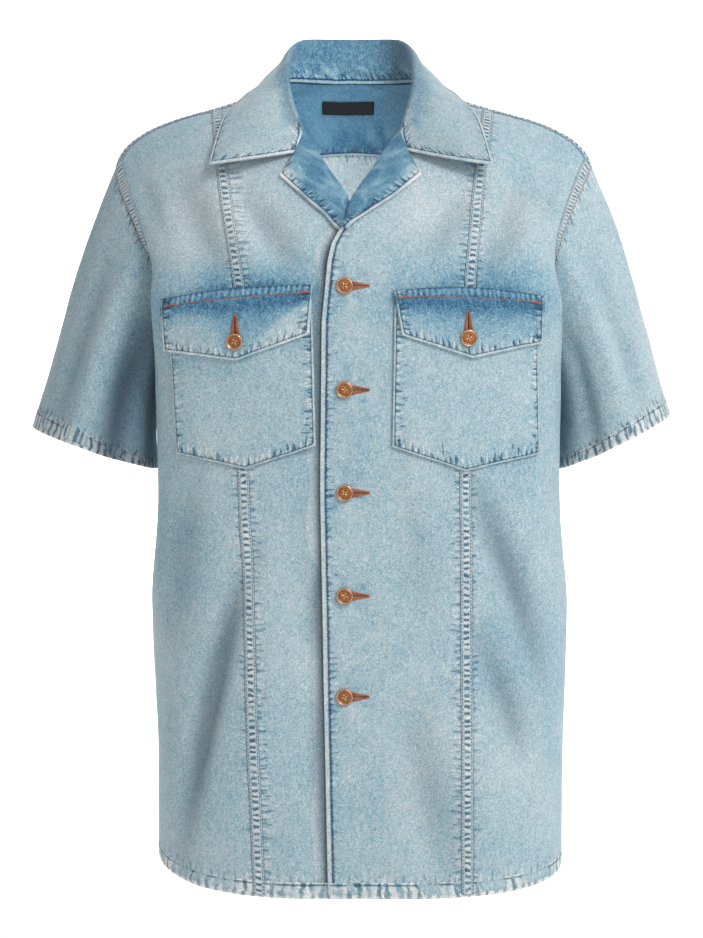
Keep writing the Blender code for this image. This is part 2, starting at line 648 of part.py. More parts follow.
def join_yoke(name, outer, inner, neck_rows, material):
    """Join the yoke's halves below the nape into one closed wall."""
    mesh = bmesh.new()
    skins = []
    for grid in (outer, inner):
        sides = []
        for half in (0, 1):
            sides.append([[mesh.verts.new(p) for p in pair[half]] for pair in grid])
        for i in range(neck_rows, len(grid)):
            mesh.verts.remove(sides[1][i][0])
            sides[1][i][0] = sides[0][i][0]
        skins.append(sides)
    height, width = len(outer), len(outer[0][0])
    for sides in skins:
        for lines in sides:
            for i in range(height - 1):
                for j in range(width - 1):
                    mesh.faces.new((lines[i][j], lines[i][j + 1], lines[i + 1][j + 1], lines[i + 1][j]))
    for half in (0, 1):
        out, back = skins[0][half], skins[1][half]
        for i in (0, height - 1):
            for j in range(width - 1):
                mesh.faces.new((out[i][j], out[i][j + 1], back[i][j + 1], back[i][j]))
        for i in range(height - 1):
            mesh.faces.new((out[i][-1], out[i + 1][-1], back[i + 1][-1], back[i][-1]))
            if i < neck_rows:
                mesh.faces.new((out[i][0], out[i + 1][0], back[i + 1][0], back[i][0]))
    bmesh.ops.recalc_face_normals(mesh, faces=mesh.faces)
    data = bpy.data.meshes.new(name)
    mesh.to_mesh(data)
    mesh.free()
    return add_object(name, data, material)


def build_back():
    """The back, from the yoke seam to the hem and from side seam to side seam."""
    outer, inner = [], []
    half = back_columns()
    for side, columns in ((RIGHT, half[:0:-1]), (LEFT, half)):
        for across in columns:
            outer_line, inner_line = [], []
            for row in back_rows(across):
                point = body_point(side, row, across)
                normal = facing(side, row, across, body_point)
                outer_line.append(point)
                inner_line.append(point - normal * wall_depth(row))
            outer.append(outer_line)
            inner.append(inner_line)
    return grid_mesh("back_panel", outer, inner, DENIM)


# ---------------------------------------------------------------- sleeves
def armhole_ring(side):
    """Rows round the armhole with their turn, from the shoulder tip down the front and back up.

    They are the rows of the panels beside it, so that both edges have the same points.
    """
    front = rows_through(ROW["front_underarm"], FRONT_STEPS[ROW["front_underarm"] :])[::-1]
    back = yoke_rows(1.0)[1:-1] + [yoke_end(1.0)]
    back += [row for row in back_rows(1.0)[1:] if row < ROW["back_underarm"] + 0.001]
    ring = []
    for rows, first_turn in ((front, 0.0), (back[::-1], 0.5)):
        points = [bare_point(side, row, 1.0) for row in rows]
        if first_turn:
            points.append(bare_point(side, ROW["shoulder"], 1.0))
        steps = [(b - a).length for a, b in zip(points, points[1:])]
        ring += [
            (row, first_turn + 0.5 * sum(steps[:i]) / sum(steps))
            for i, row in enumerate(rows)
            if not (first_turn and i == 0)
        ]
    return ring


def sleeve_fold(side, turn, share):
    total = 0.0
    for fold in SLEEVE_FOLDS:
        if fold.side != side or not fold.start < share < fold.end + 0.2:
            continue
        around = (turn - fold.turn + 0.5) % 1 - 0.5
        along = (share - fold.start) / (fold.end + 0.2 - fold.start)
        total += fold.depth * math.sin(math.pi * along) * math.exp(-((around / fold.width) ** 2))
    return total


def build_sleeve(side):
    """A sleeve from the armhole to its turned-up hem."""
    end = next(item for item in SLEEVE_ENDS if item.side == side)
    outer_end, inner_end = Vector((end.outer_x, 0, end.outer_z)), Vector((end.inner_x, 0, end.inner_z))
    centre = (outer_end + inner_end) / 2 + Vector((0, (end.front_y + end.back_y) / 2, 0))
    half_width = (outer_end - inner_end) / 2
    half_depth = Vector((0, (end.front_y - end.back_y) / 2, 0))
    outward = Vector((side, 0, 0))
    shares = [i / SLEEVE_LONG for i in range(SLEEVE_LONG + 1)]
    hem_share = 1 - SLEEVE_HEM / SLEEVE_LENGTH
    shares = shares[:-1] + [hem_share - STEP / SLEEVE_LENGTH, hem_share, 1.0]
    shares = sorted(set(shares))

    def lengthwise(row, turn):
        start = bare_point(side, row, 1.0)
        normal = facing(side, row, 1.0, bare_point)
        angle = 2 * math.pi * turn
        hem = centre + half_width * math.cos(angle) + half_depth * math.sin(angle)
        hem.z -= HEM_FRONT_DROP * math.sin(angle)
        low = 0.5 - 0.5 * math.cos(angle)
        run = (hem - start) / 3
        first = start + run + outward * (PIT_BULGE * low**1.5 + CAP_BULGE * (1 - low))
        last = hem - run + outward * PIT_BULGE * 0.3 * low**2
        return start, first, last, hem, normal

    curves = [lengthwise(row, turn) for row, turn in armhole_ring(side)]

    def point_on(curve, share):
        start, first, last, hem, _ = curve
        rest = 1 - share
        middle = first * 3 * share * rest**2 + last * 3 * share**2 * rest
        return start * rest**3 + middle + hem * share**3

    outer, inner = [], []
    for share in shares:
        outer_line, inner_line = [], []
        for j, (curve, (_, turn)) in enumerate(zip(curves, armhole_ring(side))):
            low, high = max(share - 0.01, 0), min(share + 0.01, 1)
            along = point_on(curve, high) - point_on(curve, low)
            before, after = curves[j - 1], curves[(j + 1) % len(curves)]
            around = point_on(after, share) - point_on(before, share)
            normal = side * around.cross(along).normalized()
            point = point_on(curve, share) + normal * sleeve_fold(side, turn, share)
            if share == 0:
                point = point + along.normalized() * SEAM_GAP
                smooth = smooth_step(0.6, 0.9, normal.dot(curve[4]))
                normal = normal.lerp(curve[4], smooth).normalized()
            depth = HEM_CLOTH if share >= hem_share - 1e-6 else CLOTH
            outer_line.append(point)
            inner_line.append(point - normal * depth)
        outer.append(outer_line)
        inner.append(inner_line)
    return grid_mesh(f"sleeve_{SIDE_NAME[side]}", outer, inner, DENIM, ring=True)


# ---------------------------------------------------------------- collar and lapels
def collar_station(place):
    """The collar's table at a place counted in stations."""
    knots = list(range(len(COLLAR)))
    columns = [list(column) for column in zip(*COLLAR)]
    return Station(*[value_between(knots, c, slopes_through(knots, c), place) for c in columns])


def neck_seam(side, row):
    """The start of the collar's stand beside the body's neck edge, at half the wall's depth."""
    edge = body_point(side, row, 0.0)
    last = min(row + 0.05, ROW["nape"])
    tangent = (body_point(side, last, 0.0) - body_point(side, row - 0.05, 0.0)).normalized()
    inward = Vector((COLLAR_X, 0, edge.z)) - edge
    inward = (inward - tangent * inward.dot(tangent)).normalized()
    normal = facing(side, row, 0.03, bare_point)
    return edge + inward * (DOUBLE / 2 + 3 * SEAM_GAP) - normal * DOUBLE / 2


def body_surface():
    """The outer surface of the fronts and yoke, for what rests on them."""
    points, faces = [], []
    columns = 18
    first_row, last_row = ROW["front_armhole"], ROW["yoke"]
    rows = [first_row + i / 4 for i in range(4 * (last_row - first_row) + 1)]
    for side in (LEFT, RIGHT):
        first = len(points)
        for row in rows:
            points += [body_point(side, row, j / columns) for j in range(columns + 1)]
        for i in range(len(rows) - 1):
            for j in range(columns):
                a = first + i * (columns + 1) + j
                face = (a, a + 1, a + columns + 2, a + columns + 1)
                faces.append(face if side == LEFT else face[::-1])
    return BVHTree.FromPolygons(points, faces)


def clear_of(surface, point, clearance):
    """The point, raised where it is less than this far outside a surface.

    A point far from the surface stands free over the neck, so it stays.
    """
    place, normal, _, distance = surface.find_nearest(point)
    near = 1 - smooth_step(0.6 * FREE_OF_BODY, FREE_OF_BODY, distance)
    return point + normal * near * max(0.0, clearance - (point - place).dot(normal))


def collar_line(side, place, surface):
    """Middle line of the collar at a station: up its stand, over the fold, down its leaf."""
    station = collar_station(place)
    seam = neck_seam(side, ROW["shoulder"] + station.seam)
    roll = Vector((COLLAR_X + side * station.roll_x, station.roll_y, station.roll_z))
    edge = Vector((COLLAR_X + side * station.edge_x, station.edge_y, station.edge_z))
    up = (roll - seam).normalized()
    before, after = [
        Vector((side * near.roll_x, near.roll_y, near.roll_z))
        for near in (
            collar_station(max(place - 0.2, 0)),
            collar_station(min(place + 0.2, len(COLLAR) - 1)),
        )
    ]
    tangent = after - before
    out = up.cross(tangent).normalized() * side
    radius = min(COLLAR_FOLD, (roll - seam).length * 0.4)
    stand_top = roll - up * radius
    leaf_top = stand_top + out * radius * 2
    line = [seam, seam.lerp(stand_top, 0.5), stand_top]
    line += [stand_top + out * radius * 0.35 + up * radius * 0.8]
    line += [stand_top + out * radius * 1.65 + up * radius * 0.8]
    swell_way = (out + up * 0.6).normalized()
    for i in range(LEAF_STEPS + 1):
        share = i / LEAF_STEPS
        bow = station.swell * 4 * share * (1 - share) * (1 - 0.4 * share)
        point = leaf_top.lerp(edge, share) + swell_way * bow
        point += out * max(0.0, LEAF_FROM_STAND - (point - seam).dot(out))
        line.append(clear_of(surface, point, LEAF_REST) if i else point)
    near_gorge = smooth_step(len(COLLAR) - 2.5, len(COLLAR) - 1, place)
    if near_gorge > 0:
        line = [a.lerp(b, near_gorge) for a, b in zip(line, lapel_line(side, 0.0))]
    return line


def moved_towards(line, neighbour, distance):
    """A line's points, each moved this far towards its neighbour's point."""
    return [a + (b - a).normalized() * distance for a, b in zip(line, neighbour)]


def thick_sheet(name, lines, thickness, material):
    """A wall of even thickness about a grid of points, whose first and last lines only guide it.

    They belong to the pieces that it is sewn to, and a seam gap is left before them.
    """
    outer, inner = [], []
    for i in range(1, len(lines) - 1):
        line = lines[i]
        if i == 1 and lines[0]:
            line = moved_towards(line, lines[2], SEAM_GAP)
        if i == len(lines) - 2 and lines[-1]:
            line = moved_towards(line, lines[i - 1], SEAM_GAP)
        low, high = lines[i - 1] or lines[i], lines[i + 1] or lines[i]
        outer_line, inner_line = [], []
        for j, point in enumerate(line):
            along = high[j] - low[j]
            across = line[min(j + 1, len(line) - 1)] - line[max(j - 1, 0)]
            normal = along.cross(across).normalized()
            outer_line.append(point + normal * thickness / 2)
            inner_line.append(point - normal * thickness / 2)
        outer.append(outer_line)
        inner.append(inner_line)
    return grid_mesh(name, outer, inner, material)


def build_collar():
    last = len(COLLAR) - 1
    places = [0, 1] + [2 + i / 2 for i in range(2 * last - 3)]
    surface = body_surface()
    lines = [collar_line(RIGHT, place, surface) for place in reversed(places[1:])]
    lines += [collar_line(LEFT, place, surface) for place in places]
    guides = [lapel_line(side, LAPEL_END[side] / LAPEL_STEPS) for side in (RIGHT, LEFT)]
    return thick_sheet("collar", [guides[0], *lines, guides[1]], DOUBLE, MID_DENIM)


def lapel_corner(side, along):
    corners = LAPEL[side]
    for low, high in zip(corners, corners[1:]):
        if along <= high.along:
            share = (along - low.along) / (high.along - low.along)
            return low.x + (high.x - low.x) * share, low.z + (high.z - low.z) * share
    return corners[-1].x, corners[-1].z


def lapel_line(side, along):
    """Middle line of a lapel: out past the front's edge, over it and down its leaf."""
    row = ROW["gorge"] + (ROW["break"] - ROW["gorge"]) * along
    across = edge_place(side, row)
    edge = body_point(side, row, across)
    normal = facing(side, row, across, bare_point)
    inward = (edge - body_point(side, row, across + 0.02)).normalized()
    sunk = lap_sink(side, row, edge)
    x, z = lapel_corner(side, along)
    tip_row, tip_across = place_at(side, x, z)
    tip = body_point(side, tip_row, tip_across)
    tip_normal = facing(side, tip_row, tip_across, bare_point)
    half = DOUBLE / 2
    lift_edge, lift_tip = half + 0.0034 - 0.0022 * along, half + LAY_GAP + 0.0013 * along
    top = edge + normal * (lift_edge - sunk)
    tight = 1 - 0.7 * smooth_step(0.5, LAPEL_END[side], along)
    line = [
        edge + inward * (half + max(past * tight, 2 * SEAM_GAP)) + normal * (up - sunk)
        for past, up in (
            (2 * SEAM_GAP, -half),
            (0.0018, -half * 0.3),
            (0.0024, lift_edge * 0.25),
            (0.0021, lift_edge * 0.60),
            (0.0010, lift_edge * 0.88),
        )
    ]
    sink_tip = lap_sink(side, tip_row, tip)
    bow = (0.0020 - 0.0014 * along) * min(1.0, (tip - edge).length / 0.020)
    for i in range(LEAF_STEPS + 1):
        share = i / LEAF_STEPS
        flat = top.lerp(tip + tip_normal * (lift_tip - sink_tip), share)
        row_here = row + (tip_row - row) * share
        across_here = across + (tip_across - across) * share
        base = body_point(side, row_here, across_here)
        way = facing(side, row_here, across_here, bare_point)
        lift = lift_edge + (lift_tip - lift_edge) * share + bow * math.sin(math.pi * share)
        seated = base + way * (lift - lap_sink(side, row_here, base))
        line.append(seated if 0 < i < LEAF_STEPS else flat)
    return line


def build_lapel(side):
    """A lapel from the gorge to the break, where its leaf fades out into the front edge."""
    places = [LAPEL_END[side] * i / LAPEL_STEPS for i in range(LAPEL_STEPS + 1)]
    lines = [lapel_line(side, along) for along in places]
    guide = collar_line(side, len(COLLAR) - 1.5, body_surface())
    return thick_sheet(f"lapel_{SIDE_NAME[side]}", [guide, *lines, None], DOUBLE, DARK_DENIM)


# ---------------------------------------------------------------- pockets, flaps and label
def build_patch(patch, lift_of, cloth, columns, rows, material):
    """A patch on a front, whose lift over the front may vary from its top to its bottom."""
    outer, inner = [], []
    for i in range(rows + 1):
        down = i / rows
        outer_line, inner_line = [], []
        for j in range(columns + 1):
            share = j / columns
            middle = 1 - abs(2 * share - 1)
            top_x = patch.top_out_x + (patch.top_in_x - patch.top_out_x) * share
            low_x = patch.low_out_x + (patch.low_in_x - patch.low_out_x) * share
            top_z = patch.top_out_z + (patch.top_in_z - patch.top_out_z) * share
            low_z = patch.low_out_z + (patch.low_in_z - patch.low_out_z) * share
            top_z += patch.arch * math.sin(math.pi * share)
            low_z -= patch.drop * middle
            x = top_x + (low_x - top_x) * down
            z = top_z + (low_z - top_z) * down
            row, across = place_at(patch.side, x, z)
            point = body_point(patch.side, row, across)
            normal = facing(patch.side, row, across, body_point)
            lift = lift_of(down)
            outer_line.append(point + normal * (lift + cloth))
            inner_line.append(point + normal * lift)
        outer.append(outer_line)
        inner.append(inner_line)
    return grid_mesh(patch.name, outer, inner, material)


def flap_lift(down):
    """A flap is sewn on at its top, and lies over the pocket below."""
    return POCKET_LIFT + (FLAP_LIFT - POCKET_LIFT) * smooth_step(0.0, 0.2, down)


def build_label():
    """The blank label, on the inside of the inner yoke under the collar seam."""
    columns, rows = 6, 1
    depth = INNER_YOKE_DEPTH + CLOTH + LAY_GAP
    outer, inner = [], []
    for i in range(rows + 1):
        z = LABEL_Z + LABEL_HEIGHT * (0.5 - i / rows)
        outer_line, inner_line = [], []
        for j in range(columns + 1):
            x = LABEL_X + LABEL_WIDTH * (j / columns - 0.5)
            side = LEFT if x > -0.001 else RIGHT
            row, across = place_at(side, x, z, back=True)
            point = body_point(side, row, across)
            normal = facing(side, row, across, body_point)
            outer_line.append(point - normal * depth)
            inner_line.append(point - normal * (depth + LABEL_CLOTH))
        outer.append(outer_line)
        inner.append(inner_line)
    return grid_mesh("neck_label", outer, inner, LABEL_BLACK)


# ---------------------------------------------------------------- buttons
def button_mesh(name):
    """Half profile of a button, from its outer rim to its axis, for a Screw modifier."""
    radius, height = BUTTON_RADIUS, BUTTON_HEIGHT
    profile = [
        (0.0, height * 0.72), (radius * 0.62, height * 0.72), (radius * 0.76, height * 0.96),
        (radius * 0.94, height), (radius, height * 0.80), (radius * 0.97, height * 0.30),
        (radius * 0.80, 0.0), (0.0, 0.0),
    ]
    data = bpy.data.meshes.new(name)
    edges = [(i, i + 1) for i in range(len(profile) - 1)]
    data.from_pydata([(x, 0, z) for x, z in profile], edges, [])
    return data


def build_button(name, side, x, z, lift):
    """A turned button whose axis stands on the front's surface."""
    item = add_object(name, button_mesh(name), COPPER)
    row, across = place_at(side, x, z)
    normal = facing(side, row, across, body_point)
    item.location = body_point(side, row, across) + normal * (lift + BUTTON_SEAT)
    item.rotation_euler = normal.to_track_quat("Z", "Y").to_euler()
    screw = item.modifiers.new("turn", "SCREW")
    screw.axis = "Z"
    screw.steps = screw.render_steps = 12
    screw.use_merge_vertices = True
    screw.merge_threshold = 0.00005
    screw.use_normal_calculate = True
    return item


# ---------------------------------------------------------------- the shirt
def build_shirt():
    for side in (LEFT, RIGHT):
        build_front_centre(side)
        build_front_side(side)
        build_sleeve(side)
        build_lapel(side)
    build_back()
    build_yoke("yoke_outer", 0.0, DENIM)
    build_yoke("yoke_inner", INNER_YOKE_DEPTH, DARK_DENIM)
    build_collar()
    for patch in POCKETS:
        build_patch(patch, lambda down: POCKET_LIFT, CLOTH, 10, 7, DENIM)
    for patch in FLAPS:
        build_patch(patch, flap_lift, DOUBLE, 10, 5, MID_DENIM)
    for number, z in enumerate(FRONT_BUTTON_Z, 1):
        build_button(f"button_front_{number}", LEFT, BUTTON_X, z, 0.0)
    for side, (x, z) in FLAP_BUTTONS.items():
        build_button(f"button_flap_{SIDE_NAME[side]}", side, x, z, FLAP_LIFT + DOUBLE)
    build_label()


for old in list(bpy.data.objects):
    bpy.data.objects.remove(old, do_unlink=True)
SHIRT = bpy.data.collections.new("denim_shirt")
bpy.context.scene.collection.children.link(SHIRT)
build_shirt()
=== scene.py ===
# Short-sleeved washed denim shirt with an open camp collar, filled out as if worn.
# Metres, +Z up, +X to the wearer's left, -Y to the wearer's front.
import json
import math

import bmesh
import bpy
import numpy as np
from mathutils import Matrix, Vector
from mathutils.bvhtree import BVHTree

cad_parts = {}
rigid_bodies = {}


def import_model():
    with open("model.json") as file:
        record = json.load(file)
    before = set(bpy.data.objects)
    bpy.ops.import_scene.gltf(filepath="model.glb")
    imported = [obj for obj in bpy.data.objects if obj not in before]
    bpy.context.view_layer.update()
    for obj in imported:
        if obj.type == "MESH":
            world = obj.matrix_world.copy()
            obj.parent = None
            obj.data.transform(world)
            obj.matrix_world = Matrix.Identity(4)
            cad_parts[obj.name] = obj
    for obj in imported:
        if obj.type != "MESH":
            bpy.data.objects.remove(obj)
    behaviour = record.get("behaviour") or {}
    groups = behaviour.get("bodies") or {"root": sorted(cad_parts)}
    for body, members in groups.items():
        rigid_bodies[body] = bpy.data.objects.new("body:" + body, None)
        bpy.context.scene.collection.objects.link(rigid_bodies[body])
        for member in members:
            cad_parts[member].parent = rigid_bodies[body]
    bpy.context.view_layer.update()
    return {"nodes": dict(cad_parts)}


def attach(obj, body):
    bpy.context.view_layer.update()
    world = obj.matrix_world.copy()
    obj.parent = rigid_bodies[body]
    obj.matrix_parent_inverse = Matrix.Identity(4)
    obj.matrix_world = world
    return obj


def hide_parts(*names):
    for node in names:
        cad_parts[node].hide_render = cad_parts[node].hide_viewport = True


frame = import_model()

left, right = 1, -1  # the wearer's left is at +X
sideName = {left: "Left", right: "Right"}
nodeSide = {left: "left", right: "right"}

make = {
    "cloth": 0.0012,  # one layer of denim
    "double": 0.0022,  # two layers: collar, lapels and flaps
    "hemCloth": 0.0024,  # a turned-up hem
    "seamGap": 0.0003,
    "layGap": 0.0007,  # under a piece that lies on another
    "fellRaise": 0.0008,  # a felled seam stands this far proud
    "fellWidth": 0.0112,
    "bodyHem": 0.0135,
    "sleeveHem": 0.0160,
    "lapGap": 0.0004,
    "lapelSink": 0.0060,  # the right front lies this much deeper under the lapels
    "hemTilt": 0.0045,  # the hem hangs lower at the left side
}


# Small helpers on arrays of points.
def unit(v):
    return v / np.maximum(np.linalg.norm(v, axis=-1, keepdims=True), 1e-12)


def smoothStep(low, high, value):
    share = np.clip((value - low) / (high - low), 0.0, 1.0)
    return share * share * (3 - 2 * share)


def hump(value, width):
    # 1 at 0, falling off on both sides
    return np.exp(-((value / width) ** 2))


def runOf(points):
    # distance along a line of points
    steps = np.linalg.norm(np.diff(points, axis=0), axis=-1)
    return np.concatenate([np.zeros((1,) + steps.shape[1:]), np.cumsum(steps, axis=0)])


def noise(x, y, z=0.0, seed=0):
    # smooth noise from -1 to 1, one lattice cell to a unit
    x, y, z = np.broadcast_arrays(np.asarray(x, float), y, z)
    cells = [np.floor(v).astype(np.int64) for v in (x, y, z)]
    shares = [v - np.floor(v) for v in (x, y, z)]
    shares = [s * s * (3 - 2 * s) for s in shares]
    total = np.zeros(x.shape)
    for corner in range(8):
        bits = [corner & 1, corner >> 1 & 1, corner >> 2 & 1]
        h = seed * 1013904223 + 12345
        for cell, bit, prime in zip(cells, bits, (374761393, 668265263, 2147483629)):
            h = (h ^ ((cell + bit) * prime)) & 0xFFFFFFFF
            h = ((h ^ (h >> 15)) * 2246822519) & 0xFFFFFFFF
        h = ((h ^ (h >> 13)) * 3266489917) & 0xFFFFFFFF
        weight = np.ones(x.shape)
        for share, bit in zip(shares, bits):
            weight = weight * (share if bit else 1 - share)
        total += weight * (h / 0x7FFFFFFF - 1.0)
    return total


def gridRuns(grid):
    # distances along a grid's lines: down its columns and across its rows
    return runOf(grid), np.swapaxes(runOf(np.swapaxes(grid, 0, 1)), 0, 1)


def slopesOf(knots, values):
    # slopes at each knot, for a curve that never swings past its values
    rises = np.diff(values, axis=0) / np.diff(knots)[:, None]
    before, after = rises[:-1], rises[1:]
    same = before * after > 0
    middle = np.where(same, 2 * before * after / np.where(same, before + after, 1.0), 0.0)
    return np.vstack([rises[:1], middle, rises[-1:]])


def between(knots, values, slopeIn, slopeOut, place):
    # every column's value at places counted in rows
    index = np.clip(place.astype(int), 0, len(knots) - 2)
    step = (place - index)[..., None]
    rest = 1 - step
    span = (knots[index + 1] - knots[index])[..., None]
    return (
        values[index] * (1 + 2 * step) * rest * rest
        + span * slopeOut[index] * step * rest * rest
        + values[index + 1] * step * step * (3 - 2 * step)
        - span * slopeIn[index + 1] * step * step * rest
    )


# The body's form.
# Each section: centres at its inner and outer ends, then x, y, z of its inner end, near handle,
# far handle and outer end. They follow one another from the front hem over the shoulder to the
# back hem, and each half of the body is a loft of them.
sections = {
    "frontHem": (0.0060, 0.0060, 0, -0.118, -0.7440, 0.120, -0.118, -0.7480,
                 0.1990, -0.086, -0.7375, 0.1915, 0.000, -0.7125),
    "frontHip": (0.0062, 0.0062, 0, -0.121, -0.620, 0.122, -0.121, -0.620,
                 0.2010, -0.092, -0.617, 0.1925, 0.000, -0.6120),
    "frontWaist": (0.0050, 0.0050, 0, -0.125, -0.480, 0.124, -0.125, -0.480,
                   0.2065, -0.094, -0.479, 0.1970, 0.000, -0.4780),
    "frontSleeveHem": (0.0045, 0.0045, 0, -0.128, -0.365, 0.124, -0.128, -0.365,
                       0.2310, -0.086, -0.363, 0.1740, 0.000, -0.3620),
    "frontUnderarm": (0.0040, 0.0040, 0, -0.129, -0.272, 0.122, -0.129, -0.272,
                      0.2520, -0.082, -0.268, 0.1600, 0.000, -0.2640),
    "frontArmhole": (0.0020, 0.0020, 0, -0.127, -0.198, 0.118, -0.127, -0.198,
                     0.2440, -0.106, -0.197, 0.1700, -0.046, -0.1950),
    "break": (-0.0020, -0.0020, 0, -0.120, -0.136, 0.105, -0.120, -0.137,
              0.1930, -0.100, -0.140, 0.1935, -0.055, -0.1435),
    "crossing": (-0.0035, -0.0035, 0, -0.113, -0.117, 0.096, -0.115, -0.117,
                 0.1860, -0.094, -0.122, 0.2010, -0.048, -0.1260),
    "lapel": (-0.0035, -0.0035, 0.0262, -0.090, -0.068, 0.088, -0.102, -0.068,
              0.1820, -0.078, -0.078, 0.2140, -0.033, -0.0970),
    "gorge": (-0.0025, -0.0025, 0.0475, -0.064, -0.034, 0.094, -0.070, -0.022,
              0.1860, -0.050, -0.040, 0.2230, -0.017, -0.0760),
    "shoulder": (-0.0030, 0.0000, 0.0830, -0.006, 0.016, 0.110, -0.007, -0.012,
                 0.2120, -0.008, -0.008, 0.2280, -0.003, -0.0600),
    "ridge": (-0.0030, 0.0000, 0.0820, 0.022, 0.025, 0.108, 0.022, -0.010,
              0.2120, 0.016, -0.004, 0.2265, 0.009, -0.0640),
    "neckBack": (-0.0030, 0.0000, 0.0560, 0.060, 0.031, 0.096, 0.058, 0.002,
                 0.1980, 0.040, -0.012, 0.2230, 0.021, -0.0740),
    "nape": (-0.0030, 0.0000, 0, 0.077, 0.031, 0.072, 0.077, 0.020,
             0.1800, 0.066, -0.030, 0.2160, 0.034, -0.0920),
    "neckFall": (-0.0030, 0.0000, 0, 0.086, 0.014, 0.080, 0.086, 0.002,
                 0.1790, 0.073, -0.042, 0.2110, 0.040, -0.1040),
    "yoke": (-0.0010, 0.0000, 0, 0.106, -0.026, 0.092, 0.106, -0.030,
             0.1780, 0.088, -0.066, 0.2040, 0.048, -0.1220),
    "blade": (0.0020, 0.0020, 0, 0.122, -0.100, 0.105, 0.122, -0.102,
              0.1830, 0.102, -0.126, 0.1860, 0.054, -0.1640),
    "backArmhole": (0.0030, 0.0030, 0, 0.127, -0.182, 0.114, 0.127, -0.184,
                    0.2160, 0.106, -0.196, 0.1680, 0.044, -0.2140),
    "backUnderarm": (0.0040, 0.0040, 0, 0.125, -0.268, 0.118, 0.125, -0.268,
                     0.2200, 0.088, -0.266, 0.1600, 0.000, -0.2640),
    "backSleeveHem": (0.0045, 0.0045, 0, 0.119, -0.365, 0.120, 0.119, -0.365,
                      0.2060, 0.090, -0.363, 0.1740, 0.000, -0.3620),
    "backWaist": (0.0050, 0.0050, 0, 0.112, -0.480, 0.122, 0.112, -0.480,
                  0.2040, 0.092, -0.479, 0.1970, 0.000, -0.4780),
    "backHip": (0.0062, 0.0062, 0, 0.111, -0.620, 0.122, 0.111, -0.620,
                0.2010, 0.088, -0.617, 0.1925, 0.000, -0.6120),
    "backHem": (0.0060, 0.0060, 0, 0.112, -0.7440, 0.120, 0.112, -0.7480,
                0.1990, 0.084, -0.7375, 0.1915, 0.000, -0.7125),
}
sectionTable = np.array(list(sections.values()), float)
rowOf = {name: index for index, name in enumerate(sections)}
lastRow = len(sectionTable) - 1
innerSteps = np.linalg.norm(np.diff(sectionTable[:, 2:5], axis=0), axis=1)
outerSteps = np.linalg.norm(np.diff(sectionTable[:, 11:14], axis=0), axis=1)
bodyKnots = np.concatenate([[0.0], np.cumsum((innerSteps + outerSteps) / 2)])
slopeIn = slopesOf(bodyKnots, sectionTable)
slopeOut = slopeIn.copy()
nape = rowOf["nape"]
napeRises = np.diff(sectionTable, axis=0) / np.diff(bodyKnots)[:, None]
slopeIn[nape, 2], slopeOut[nape, 2] = napeRises[nape - 1, 2], 0.0  # the neckline turns a corner
slopeIn[nape, 3:5], slopeOut[nape, 3:5] = 0.0, napeRises[nape, 3:5]

# Lines on the fronts, as z and x from the hem up: the front edges and the princess seams.
edgeLine = {
    left: ((-0.744, -0.0237), (-0.550, -0.0277), (-0.370, -0.0310), (-0.213, -0.0295),
           (-0.157, -0.0241), (-0.1415, -0.0203), (-0.1305, -0.0145), (-0.117, -0.0035)),
    right: ((-0.744, 0.0110), (-0.145, 0.0110), (-0.134, 0.0070), (-0.117, -0.0035)),
}
princessLine = {
    left: ((-0.744, 0.1092), (-0.433, 0.1072), (-0.350, 0.1070), (-0.172, 0.1113),
           (-0.069, 0.1220), (0.000, 0.1330)),
    right: ((-0.744, -0.0905), (-0.433, -0.1030), (-0.350, -0.1065), (-0.181, -0.1100),
            (-0.069, -0.1210), (0.000, -0.1340)),
}
stripLine = {  # the outer edges of the sewn-down seams, which cover the princess seams
    left: ((-0.744, 0.1106), (-0.433, 0.1086), (-0.350, 0.1084), (-0.172, 0.1128),
           (-0.069, 0.1236), (0.000, 0.1345)),
    right: ((-0.744, -0.0930), (-0.433, -0.1043), (-0.350, -0.1078), (-0.181, -0.1115),
            (-0.076, -0.1276), (-0.009, -0.1360)),
}

